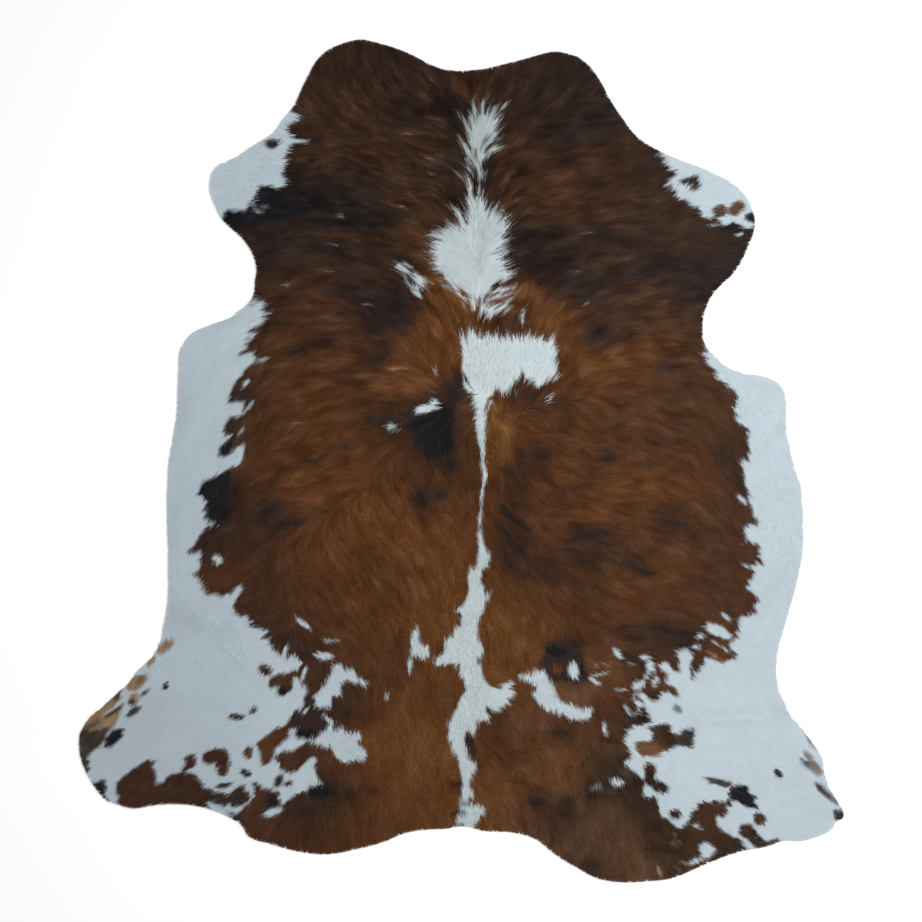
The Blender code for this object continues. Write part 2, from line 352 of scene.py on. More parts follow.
# ==== The markings ====
# A tricolour coat: brindled brown over the back, white belly, legs and a broken white line along
# the spine, with brown and black spots in the white. Rings are in mm, charted one by one.
# Feather is how far the hair blurs the ring's edge.
Mark = namedtuple("Mark", "place kind feather ring")
WHITE, BROWN, DARK, BLACK, TAN, TAUPE, GREY = range(7)
WHITE_MARKS = [Mark(*row) for row in (
    ("left flank and hind leg", WHITE, 5, (
        (-700, 520), (-556, 470), (-542, 424), (-526, 416), (-520, 400), (-498, 390), (-508, 370),
        (-517, 354), (-548, 360), (-554, 336), (-557, 298), (-573, 286), (-548, 283), (-542, 274),
        (-548, 261), (-567, 236), (-585, 212), (-598, 199), (-594, 174), (-575, 152), (-572, 129),
        (-587, 110), (-601, 89), (-598, 65), (-625, 40), (-630, 19), (-610, 13), (-585, 38),
        (-560, 50), (-573, 19), (-579, -6), (-616, -24), (-635, -49), (-672, -55), (-681, -77),
        (-660, -98), (-669, -123), (-666, -148), (-635, -167), (-666, -167), (-684, -191),
        (-697, -222), (-712, -238), (-681, -235), (-681, -254), (-678, -278), (-697, -294),
        (-681, -315), (-672, -340), (-635, -353), (-598, -350), (-585, -328), (-570, -322),
        (-579, -347), (-594, -378), (-591, -403), (-557, -407), (-540, -420), (-553, -433),
        (-509, -437), (-505, -450), (-516, -459), (-501, -468), (-496, -489), (-483, -502),
        (-470, -508), (-459, -524), (-456, -510), (-424, -510), (-419, -530), (-428, -546),
        (-456, -550), (-440, -568), (-430, -562), (-422, -574), (-408, -592), (-402, -606),
        (-409, -620), (-412, -640), (-430, -655), (-446, -672), (-455, -690), (-480, -697),
        (-500, -712), (-533, -738), (-522, -764), (-518, -790), (-501, -790), (-496, -777),
        (-488, -780), (-479, -782), (-466, -803), (-448, -812), (-431, -808), (-413, -790),
        (-400, -777), (-378, -771), (-383, -799), (-378, -821), (-361, -843), (-362, -851),
        (-400, -864), (-422, -864), (-440, -869), (-448, -886), (-466, -895), (-476, -886),
        (-470, -872), (-482, -862), (-500, -858), (-518, -856), (-531, -843), (-551, -838),
        (-540, -856), (-544, -878), (-553, -895), (-575, -912), (-600, -935), (-640, -1000),
        (-1200, -1000), (-1200, 520),
    )),
    ("right flank and hind leg", WHITE, 5, (
        (1200, 360), (660, 345), (636, 300), (634, 280), (652, 249), (667, 225), (694, 201),
        (718, 177), (722, 153), (708, 138), (718, 112), (732, 98), (748, 84), (752, 44), (754, 10),
        (730, 2), (738, -34), (747, -70), (760, -106), (763, -142), (778, -160), (748, -166),
        (739, -190), (751, -209), (772, -215), (781, -245), (784, -267), (740, -273), (768, -287),
        (760, -301), (752, -315), (740, -331), (756, -343), (776, -361), (764, -375), (770, -391),
        (752, -401), (732, -407), (720, -423), (728, -435), (718, -447), (722, -462), (708, -476),
        (698, -488), (710, -496), (722, -506), (710, -516), (684, -528), (660, -520), (632, -512),
        (632, -528), (616, -548), (600, -572), (598, -540), (600, -504), (588, -492), (563, -494),
        (569, -516), (565, -548), (555, -548), (539, -532), (539, -560), (535, -580), (555, -588),
        (565, -612), (547, -608), (527, -600), (515, -620), (499, -628), (483, -616), (475, -632),
        (479, -652), (495, -668), (499, -680), (467, -688), (438, -694), (430, -704), (426, -740),
        (438, -756), (450, -769), (430, -789), (446, -805), (479, -840), (476, -873), (515, -899),
        (525, -925), (551, -944), (571, -958), (581, -952), (590, -945), (601, -920), (613, -900),
        (637, -890), (661, -886), (686, -896), (696, -912), (686, -928), (668, -926), (665, -940),
        (672, -955), (690, -970), (712, -980), (728, -990), (733, -1003), (770, -1030),
        (1200, -1030),
    )),
    ("left foreleg", WHITE, 4, (
        (-458, 910), (-430, 906), (-420, 898), (-430, 887), (-442, 880), (-450, 868), (-448, 857),
        (-438, 849), (-430, 845), (-406, 837), (-398, 829), (-418, 835), (-438, 831), (-446, 817),
        (-456, 796), (-458, 776), (-454, 756), (-464, 744), (-450, 724), (-478, 710), (-502, 720),
        (-526, 718), (-530, 696), (-542, 676), (-550, 670), (-558, 651), (-574, 657), (-591, 651),
        (-604, 661), (-616, 647), (-620, 631), (-700, 640), (-760, 750), (-560, 930),
    )),
    ("right foreleg", WHITE, 4, (
        (518, 808), (524, 788), (532, 771), (543, 760), (557, 748), (540, 738), (532, 722),
        (557, 705), (560, 688), (579, 686), (601, 666), (623, 661), (623, 633), (651, 633),
        (664, 640), (674, 619), (690, 611), (706, 622), (728, 619), (740, 605), (762, 611),
        (780, 620), (850, 700), (700, 850), (520, 840),
    )),
    ("neck streak", WHITE, 11, (
        (12, 892), (38, 906), (88, 911), (94, 888), (84, 852), (70, 814), (60, 776), (48, 734),
        (30, 742), (27, 775), (26, 813), (22, 862),
    )),
    ("withers whorl", WHITE, 7, (
        (20, 684), (40, 682), (62, 668), (80, 652), (108, 632), (117, 610), (107, 590), (107, 562),
        (93, 538), (112, 517), (118, 499), (126, 478), (112, 462), (86, 450), (68, 438), (62, 416),
        (88, 403), (118, 405), (104, 388), (70, 374), (46, 372), (37, 402), (20, 424), (-10, 445),
        (-34, 473), (-64, 487), (-58, 504), (-68, 520), (-62, 540), (-77, 556), (-61, 572),
        (-65, 588), (-46, 598), (-46, 614), (-14, 608), (3, 616), (12, 656),
    )),
    ("shoulder tuft", WHITE, 6, (
        (-164, 514), (-142, 505), (-128, 508), (-120, 490), (-105, 478), (-88, 465), (-98, 450),
        (-102, 424), (-116, 430), (-126, 448), (-124, 466), (-134, 484), (-150, 497),
    )),
    ("back bar", WHITE, 6, (
        (5, 346), (12, 332), (30, 334), (48, 320), (100, 322), (144, 320), (187, 320), (231, 318),
        (246, 303), (241, 264), (247, 238), (244, 216), (218, 207), (205, 188), (194, 192),
        (183, 207), (161, 216), (148, 207), (135, 194), (122, 181), (100, 177), (78, 173),
        (70, 155), (66, 134), (37, 134), (33, 164), (24, 181), (12, 203), (8, 221), (6, 242),
        (10, 264), (9, 286), (6, 308),
    )),
    ("back stem", WHITE, 2.5, (
        (68, 140), (65, 107), (63, 80), (60, 50), (58, 20), (59, 5), (64, -15), (67, -35),
        (64, -60), (58, -85), (54, -95), (53, -140), (52, -180), (48, -180), (49, -140), (50, -95),
        (52, -85), (54, -60), (56, -30), (54, 0), (51, 30), (46, 60), (42, 85), (40, 107),
        (36, 140),
    )),
    ("spine streak", WHITE, 6, (
        (50, -178), (58, -206), (72, -230), (76, -246), (68, -270), (58, -291), (48, -315),
        (62, -323), (74, -355), (64, -371), (58, -395), (50, -419), (38, -435), (42, -463),
        (58, -475), (58, -496), (48, -516), (52, -548), (58, -576), (72, -588), (100, -592),
        (117, -580), (137, -568), (125, -596), (139, -604), (129, -620), (113, -636), (100, -652),
        (80, -652), (64, -640), (60, -652), (76, -681), (48, -677), (36, -697), (28, -709),
        (12, -705), (10, -721), (12, -749), (20, -769), (45, -794), (22, -833), (29, -866),
        (18, -897), (39, -899), (64, -907), (60, -920), (46, -935), (35, -951), (25, -990),
        (-12, -990), (-10, -938), (-1, -886), (6, -833), (-7, -794), (-12, -781), (-24, -749),
        (-32, -725), (-30, -701), (-34, -681), (-28, -664), (-16, -640), (0, -620), (12, -600),
        (4, -580), (0, -556), (-8, -532), (-64, -532), (-76, -522), (-60, -512), (-46, -496),
        (-40, -463), (-20, -447), (-6, -427), (0, -403), (-12, -395), (-14, -385), (4, -375),
        (16, -355), (18, -327), (8, -307), (20, -291), (32, -279), (40, -258), (42, -214),
        (45, -178),
    )),
    ("loin tuft", WHITE, 4, (
        (-117, -432), (-108, -452), (-108, -471), (-92, -480), (-84, -500), (-92, -512),
        (-112, -512), (-124, -508), (-129, -524), (-132, -556), (-142, -564), (-138, -524),
        (-134, -496), (-130, -455),
    )),
    ("right hip branch", WHITE, 5, (
        (153, -544), (161, -556), (181, -556), (201, -544), (217, -540), (225, -556), (237, -572),
        (243, -592), (245, -616), (265, -628), (285, -640), (305, -644), (326, -644), (354, -642),
        (342, -652), (334, -672), (301, -677), (277, -672), (269, -660), (241, -656), (221, -652),
        (213, -636), (197, -628), (177, -608), (193, -600), (197, -588), (185, -580), (161, -572),
        (151, -560),
    )),
    ("left hip arm", WHITE, 5, (
        (-440, -568), (-422, -572), (-405, -598), (-383, -611), (-370, -607), (-363, -590),
        (-352, -568), (-339, -555), (-335, -533), (-313, -526), (-309, -540), (-283, -542),
        (-272, -550), (-270, -564), (-239, -577), (-256, -588), (-270, -577), (-296, -572),
        (-317, -585), (-313, -614), (-335, -612), (-341, -633), (-344, -644), (-361, -646),
        (-378, -642), (-383, -625), (-396, -620), (-412, -612), (-430, -590),
    )),
    ("left hip patch", WHITE, 5, (
        (-378, -664), (-352, -664), (-335, -681), (-335, -699), (-313, -694), (-300, -707),
        (-282, -706), (-264, -713), (-260, -724), (-270, -736), (-254, -748), (-249, -768),
        (-254, -784), (-278, -782), (-304, -788), (-322, -777), (-335, -768), (-344, -751),
        (-361, -747), (-378, -738), (-400, -734), (-422, -742), (-440, -755), (-466, -760),
        (-483, -768), (-492, -781), (-488, -755), (-466, -734), (-448, -720), (-453, -707),
        (-440, -694), (-420, -712), (-387, -725), (-361, -703), (-348, -686), (-361, -668),
    )),
)]
SPOT_MARKS = [Mark(*row) for row in (
    ("left hock band", BROWN, 4, (
        (-902, -844), (-886, -828), (-862, -810), (-838, -791), (-822, -783), (-802, -785),
        (-804, -804), (-800, -824), (-800, -848), (-782, -836), (-766, -820), (-741, -816),
        (-709, -812), (-693, -816), (-685, -836), (-673, -852), (-653, -860), (-637, -876),
        (-641, -896), (-660, -915), (-760, -930), (-882, -906), (-894, -896), (-898, -868),
    )),
    ("left hock tab", BROWN, 3, (
        (-723, -775), (-705, -765), (-693, -775), (-695, -796), (-713, -806), (-725, -810),
        (-731, -804), (-717, -792),
    )),
    ("left hook", BROWN, 3, (
        (-677, -772), (-669, -760), (-645, -753), (-618, -751), (-607, -775), (-605, -796),
        (-613, -820), (-629, -822), (-638, -799), (-642, -785), (-657, -791), (-669, -785),
    )),
    ("left thigh ring", BROWN, 3, (
        (-498, -598), (-501, -572), (-488, -559), (-466, -555), (-444, -559), (-440, -581),
        (-446, -601), (-457, -605), (-470, -585), (-488, -585),
    )),
    ("left thigh dark", DARK, 4, (
        (-446, -677), (-431, -664), (-405, -646), (-383, -655), (-361, -668), (-348, -686),
        (-361, -703), (-378, -712), (-387, -725), (-413, -723), (-431, -712), (-422, -699),
        (-440, -688),
    )),
    ("left thigh blaze", BROWN, 4, (
        (-533, -738), (-518, -725), (-501, -712), (-479, -699), (-453, -692), (-448, -699),
        (-466, -716), (-474, -734), (-488, -751), (-496, -777), (-501, -790), (-518, -790),
        (-522, -764),
    )),
    ("left thigh wing", BROWN, 4, (
        (-479, -782), (-466, -764), (-440, -760), (-413, -747), (-378, -747), (-348, -755),
        (-352, -773), (-361, -782), (-378, -771), (-400, -777), (-413, -790), (-431, -808),
        (-448, -812), (-466, -803),
    )),
    ("left rump band", DARK, 4, (
        (-671, -882), (-640, -869), (-605, -869), (-579, -851), (-566, -847), (-566, -860),
        (-553, -873), (-553, -886), (-566, -897), (-588, -902), (-605, -893), (-627, -904),
        (-671, -886),
    )),
    ("left shoulder black", BLACK, 6, (
        (-478, 704), (-502, 713), (-524, 711), (-531, 690), (-545, 667), (-560, 646), (-576, 651),
        (-592, 645), (-604, 654), (-622, 626), (-600, 610), (-556, 620), (-500, 632), (-440, 640),
        (-400, 660), (-440, 690),
    )),
    ("left flank black", BLACK, 4, (
        (-682, -64), (-660, -46), (-632, -34), (-606, -22), (-602, -58), (-614, -96), (-606, -146),
        (-634, -164), (-668, -146), (-660, -104), (-686, -86),
    )),
    ("left shin tan", TAN, 4, (
        (-890, -606), (-884, -641), (-892, -660), (-905, -690), (-925, -705), (-1010, -712),
        (-1010, -660), (-900, -590),
    )),
    ("left shin brown", TAUPE, 7, (
        (-1010, -704), (-930, -700), (-924, -726), (-945, -742), (-968, -765), (-975, -790),
        (-972, -815), (-990, -820), (-1010, -780),
    )),
    ("left shin black", BLACK, 3, (
        (-932, -745), (-925, -718), (-908, -702), (-882, -700), (-886, -720), (-904, -738),
        (-920, -750),
    )),
    ("left heel", BLACK, 3, (
        (-961, -844), (-936, -830), (-928, -844), (-932, -868), (-922, -892), (-945, -905),
        (-985, -850),
    )),
    ("left shin tip", TAN, 3, (
        (-749, -466), (-766, -464), (-786, -478), (-800, -494), (-790, -502), (-774, -498),
        (-749, -478),
    )),
    ("left shin tip two", TAN, 3, (
        (-880, -584), (-850, -560), (-822, -554), (-820, -568), (-835, -585), (-850, -598),
        (-868, -596),
    )),
    ("left shin tip three", TAUPE, 3, (
        (-876, -669), (-862, -667), (-832, -644), (-844, -640), (-862, -651),
    )),
    ("right hip ring", DARK, 5, (
        (210, -520), (220, -494), (244, -476), (284, -480), (308, -496), (322, -520), (324, -548),
        (334, -566), (316, -576), (290, -576), (256, -572), (230, -570), (220, -546),
    )),
    ("right camel", BROWN, 3, (
        (456, -742), (464, -734), (482, -734), (498, -725), (500, -706), (484, -697), (519, -688),
        (543, -692), (550, -712), (566, -714), (580, -701), (607, -698), (603, -716), (607, -738),
        (600, -751), (578, -745), (556, -741), (548, -753), (521, -756), (517, -771), (474, -771),
        (460, -758),
    )),
    ("right camel head", TAUPE, 3, (
        (560, -718), (579, -703), (608, -699), (604, -722), (600, -750), (579, -743), (562, -738),
    )),
    ("right thigh arm", BROWN, 3, (
        (478, -796), (488, -789), (504, -796), (504, -828), (520, -838), (540, -850), (532, -867),
        (512, -865), (495, -850), (477, -836),
    )),
    ("right shin streak", TAUPE, 2, (
        (631, -825), (661, -831), (706, -839), (706, -849), (682, -851), (649, -841),
    )),
    ("right shin black", BLACK, 3, (
        (698, -861), (716, -850), (728, -844), (745, -852), (752, -868), (772, -877), (760, -888),
        (774, -908), (750, -904), (728, -892), (704, -882),
    )),
    ("right heel mark", BROWN, 3, (
        (726, -956), (742, -947), (758, -953), (764, -970), (770, -984), (758, -992), (742, -984),
        (728, -972),
    )),
    ("right shin edge", GREY, 3, (
        (884, -790), (905, -785), (925, -796), (944, -812), (930, -823), (912, -807),
    )),
    ("right shin edge dark", GREY, 3, (
        (928, -840), (938, -842), (990, -892), (978, -898), (948, -872), (930, -862),
    )),
    ("right toe", TAUPE, 3, ((972, -914), (1010, -908), (1010, -945), (976, -936))),
    ("right foreleg mark", BROWN, 3, (
        (565, 733), (596, 738), (612, 744), (620, 727), (623, 711), (607, 705), (596, 722),
        (573, 724),
    )),
    ("right foreleg toe", BLACK, 2, ((737, 635), (752, 648), (775, 650), (775, 618), (755, 624))),
    ("right foreleg wedge", BLACK, 3, (
        (675, 600), (684, 612), (706, 622), (728, 617), (738, 605), (720, 592), (700, 598),
    )),
    ("black patch by the spine", BLACK, 8, (
        (-122, 120), (-90, 116), (-50, 150), (-24, 144), (-21, 84), (-25, 34), (-45, 16), (-84, 10),
        (-112, 36), (-118, 70), (-128, 96),
    )),
    ("left foreleg mark", DARK, 2, (
        (-514, 833), (-498, 840), (-478, 840), (-472, 832), (-482, 822), (-498, 816), (-512, 826),
    )),
)]
# Small spots, and wisps over them: kind, x, y, length and width in mm, heading in degrees.
Spot = namedtuple("Spot", "kind x y length width heading")
SPOTS = [Spot(*row) for row in (
    (BLACK, -374, -862, 52, 32, -10), (BLACK, -490, -892, 36, 16, 0),
    (DARK, -380, -684, 60, 30, -25), (BLACK, -404, -712, 56, 20, 4), (DARK, -422, -668, 44, 24, 30),
    (DARK, -185, 98, 66, 26, -15), (BROWN, -556, -762, 30, 19, 90), (DARK, -563, -815, 26, 15, -20),
    (DARK, -620, -848, 36, 12, 15), (DARK, -587, -668, 34, 11, -4), (DARK, -543, -650, 20, 12, 20),
    (BLACK, -772, -588, 18, 12, 70), (BROWN, -512, -545, 34, 24, -30),
    (BLACK, -466, -600, 26, 20, 0), (DARK, -397, -622, 34, 24, 80), (DARK, -476, -834, 34, 20, 70),
    (BROWN, -452, -843, 20, 12, 0), (TAN, -810, -520, 30, 14, 60), (TAUPE, -826, -604, 20, 7, 40),
    (TAN, -855, -623, 34, 22, 60), (TAUPE, -860, -630, 20, 12, 60), (TAN, -940, -690, 60, 12, 20),
    (TAUPE, -897, -614, 30, 5, 62), (TAUPE, -905, -652, 44, 7, 38), (WHITE, -914, -650, 18, 2, 30),
    (WHITE, -893, -632, 20, 7, 50), (TAUPE, -955, -706, 60, 3, 10),
    (TAUPE, -975, -698, 40, 2.5, 30), (BROWN, 674, 652, 38, 30, 30), (BROWN, 718, 661, 46, 30, 25),
    (TAUPE, 440, -816, 56, 20, -24), (TAUPE, 384, -862, 64, 8, 4), (TAUPE, 372, -828, 44, 6, 0),
    (TAUPE, 336, -852, 20, 14, 90), (GREY, 563, -646, 25, 17, -50), (DARK, 560, -921, 28, 22, 0),
    (DARK, 699, -893, 18, 18, 0), (BROWN, 779, -935, 34, 29, -50), (BLACK, 828, -817, 26, 14, -45),
    (DARK, 722, -995, 28, 16, -20), (DARK, 770, -990, 60, 28, -42), (DARK, 700, -1008, 50, 14, 12),
    (DARK, 812, -996, 40, 9, 12), (BLACK, 770, -976, 26, 8, -60), (GREY, 912, -732, 32, 6, -55),
    (TAUPE, 944, -862, 52, 11, -46), (GREY, 904, -768, 26, 13, -40), (TAN, 904, -768, 16, 5, -40),
    (GREY, 922, -797, 44, 18, -45), (TAN, 928, -800, 30, 9, -45), (TAUPE, 897, -786, 22, 4, -40),
    (DARK, 717, -996, 34, 12, -45), (BROWN, 700, -990, 28, 13, -60), (TAN, -640, -905, 40, 7, -20),
    (DARK, -602, -922, 36, 8, -35), (DARK, -590, 180, 52, 22, 62), (DARK, -602, 92, 50, 24, 62),
    (BLACK, -616, 36, 38, 22, 50), (DARK, 545, 748, 24, 16, 30), (DARK, 72, 724, 40, 24, 60),
    (BROWN, 44, 396, 52, 8, 84), (GREY, 8, -893, 16, 14, 0), (GREY, 4, -918, 16, 14, 0),
    (GREY, 0, -949, 16, 12, 0), (DARK, 24, -741, 58, 17, -70), (DARK, -488, 370, 40, 16, 40),
    (DARK, 487, -890, 48, 24, 10), (BROWN, 640, -470, 50, 16, -20),
)]
WISPS = [Spot(*row) for row in (
    (WHITE, 24, 708, 56, 9, 98), (WHITE, 8, 728, 34, 4, 118), (WHITE, 52, 740, 34, 5, 66),
    (WHITE, 46, 700, 30, 3, 90), (WHITE, 112, 926, 34, 4, 55), (WHITE, 36, 920, 24, 4, 105),
    (WHITE, -6, 642, 50, 9, 130), (WHITE, 100, 444, 80, 8, 12), (WHITE, 98, 428, 76, 8, 14),
    (WHITE, -138, 474, 26, 3, -38), (WHITE, -134, 460, 24, 3, -42),
    (WHITE, -413, -424, 44, 12, -44), (WHITE, -342, -468, 40, 6, 3), (WHITE, -357, -508, 46, 20, 0),
    (WHITE, -412, -556, 42, 10, 70), (WHITE, -461, -498, 38, 10, 72),
    (WHITE, -195, -613, 26, 6, 60), (WHITE, -637, -254, 28, 22, -60), (WHITE, -556, 140, 44, 7, 52),
    (WHITE, -574, 78, 20, 4, 50), (WHITE, -560, 205, 24, 8, 50), (WHITE, -520, 266, 38, 7, 20),
    (TAN, -158, 240, 62, 4, 4), (WHITE, -67, 232, 18, 5, 105), (WHITE, -88, 138, 52, 20, 8),
    (WHITE, -68, 150, 26, 14, 60), (WHITE, -178, 89, 36, 8, -24), (TAN, -416, 101, 36, 4, 12),
    (WHITE, -545, 326, 32, 10, 55), (WHITE, -493, -917, 52, 18, 22), (GREY, -530, 656, 26, 9, -25),
    (GREY, -512, 668, 20, 5, -20), (WHITE, -545, 676, 24, 6, -50), (WHITE, -632, -912, 66, 22, -30),
    (WHITE, -405, -650, 30, 5, 50), (BLACK, 252, -494, 60, 26, -4), (BROWN, 253, -538, 32, 26, 0),
    (BLACK, 314, -545, 40, 12, 100), (BLACK, 282, -568, 40, 10, 0), (WHITE, 293, -543, 46, 27, 96),
    (WHITE, 345, -572, 34, 9, -42), (WHITE, 358, -557, 50, 4, 12), (TAN, 351, -533, 16, 4, 80),
    (TAN, 374, -531, 36, 3, -15), (WHITE, 406, -502, 36, 12, -50), (WHITE, 441, -530, 24, 4, -8),
    (WHITE, 417, -596, 34, 4, 4), (WHITE, 374, -696, 38, 8, -82), (WHITE, 432, -649, 32, 6, -60),
    (WHITE, 448, -661, 22, 6, 15), (WHITE, 481, -514, 30, 12, -5), (WHITE, 493, -536, 32, 20, -75),
    (WHITE, 481, -566, 44, 9, 58), (WHITE, 461, -586, 38, 24, 20), (WHITE, 472, -613, 32, 14, -20),
    (WHITE, 664, -476, 26, 4, -35), (TAN, 662, -508, 40, 4, -30), (WHITE, 690, -492, 26, 5, -40),
    (WHITE, 503, -578, 26, 10, 80), (WHITE, 512, -570, 20, 5, 90), (WHITE, 451, -614, 22, 6, 80),
    (WHITE, 462, -648, 26, 6, 100), (WHITE, 533, -540, 30, 22, -40),
    (WHITE, 466, -634, 26, 14, -30), (WHITE, 623, -457, 22, 14, 0), (WHITE, 613, -484, 26, 8, 0),
    (WHITE, 668, -442, 70, 26, -25), (WHITE, 690, -405, 34, 10, -40), (DARK, 501, -609, 30, 22, 20),
    (BROWN, 545, -594, 34, 14, 0), (WHITE, 409, -838, 36, 15, -4), (GREY, 352, -850, 34, 10, 14),
    (TAN, 350, -856, 18, 7, 10), (WHITE, 641, -1016, 44, 34, -30), (WHITE, 612, -1045, 62, 12, 20),
    (TAN, 588, -1052, 30, 10, -20), (TAN, 556, -998, 26, 5, -10), (TAN, 557, -978, 14, 6, -60),
    (TAN, 517, -1078, 30, 12, -70), (TAN, 566, -1070, 26, 8, -55), (WHITE, 616, -955, 22, 6, -30),
    (WHITE, 567, -946, 30, 16, -40), (WHITE, 735, -100, 36, 12, -40), (WHITE, 722, 635, 46, 12, 20),
    (WHITE, 660, 616, 24, 6, 5), (WHITE, 725, 592, 20, 6, 10), (WHITE, 232, 160, 24, 6, 85),
    (WHITE, 158, 372, 46, 9, 82), (WHITE, 118, 176, 40, 6, 2), (TAUPE, 512, -1080, 34, 9, -70),
    (TAUPE, 560, -1066, 34, 8, -50),
)]


MARK_REACH = 40.0         # mm round a ring that its feathered edge can reach
SPOT_FEATHER = 0.20       # share of a spot's width that the hair blurs
SPOT_SWELL = 1.4          # mm that hair spreads a dark mark over the white
raggedness = hair_share(spread=20, least=0.4, most=1.2)     # long hair blurs an edge further
ragged = (fine_comb + mid_comb) / math.sqrt(2) * raggedness
kind_chart = np.full(chart_x.shape, BROWN)


def spot_cells(spot):
    """The chart's cells about a long or round spot, and how deep each lies inside it in mm."""
    reach = max(spot.length, spot.width)
    beside = (abs(chart_x - spot.x) < reach) & (abs(chart_y - spot.y) < reach)
    along_x, along_y = heading_of(spot)
    off_x, off_y = chart_x[beside] - spot.x, chart_y[beside] - spot.y
    along = (off_x * along_x + off_y * along_y) / (spot.length / 2)
    across = (off_y * along_x - off_x * along_y) / (spot.width / 2)
    return beside, (1 - np.hypot(along, across)) * spot.width / 2


def paint_mark(mark, swell):
    depth = depth_near(chart_x, chart_y, np.array(mark.ring, float), MARK_REACH)
    kind_chart[depth + swell + mark.feather * ragged > 0] = mark.kind


def paint_spot(spot, swell):
    beside, depth = spot_cells(spot)
    hit = depth + swell + SPOT_FEATHER * spot.width / 2 * ragged[beside] > 0
    kind_chart[beside] = np.where(hit, spot.kind, kind_chart[beside])


for mark in WHITE_MARKS:
    paint_mark(mark, 0)
for mark in SPOT_MARKS:
    paint_mark(mark, SPOT_SWELL)
for spot in SPOTS:
    paint_spot(spot, SPOT_SWELL)
for spot in WISPS:
    paint_spot(spot, 0)

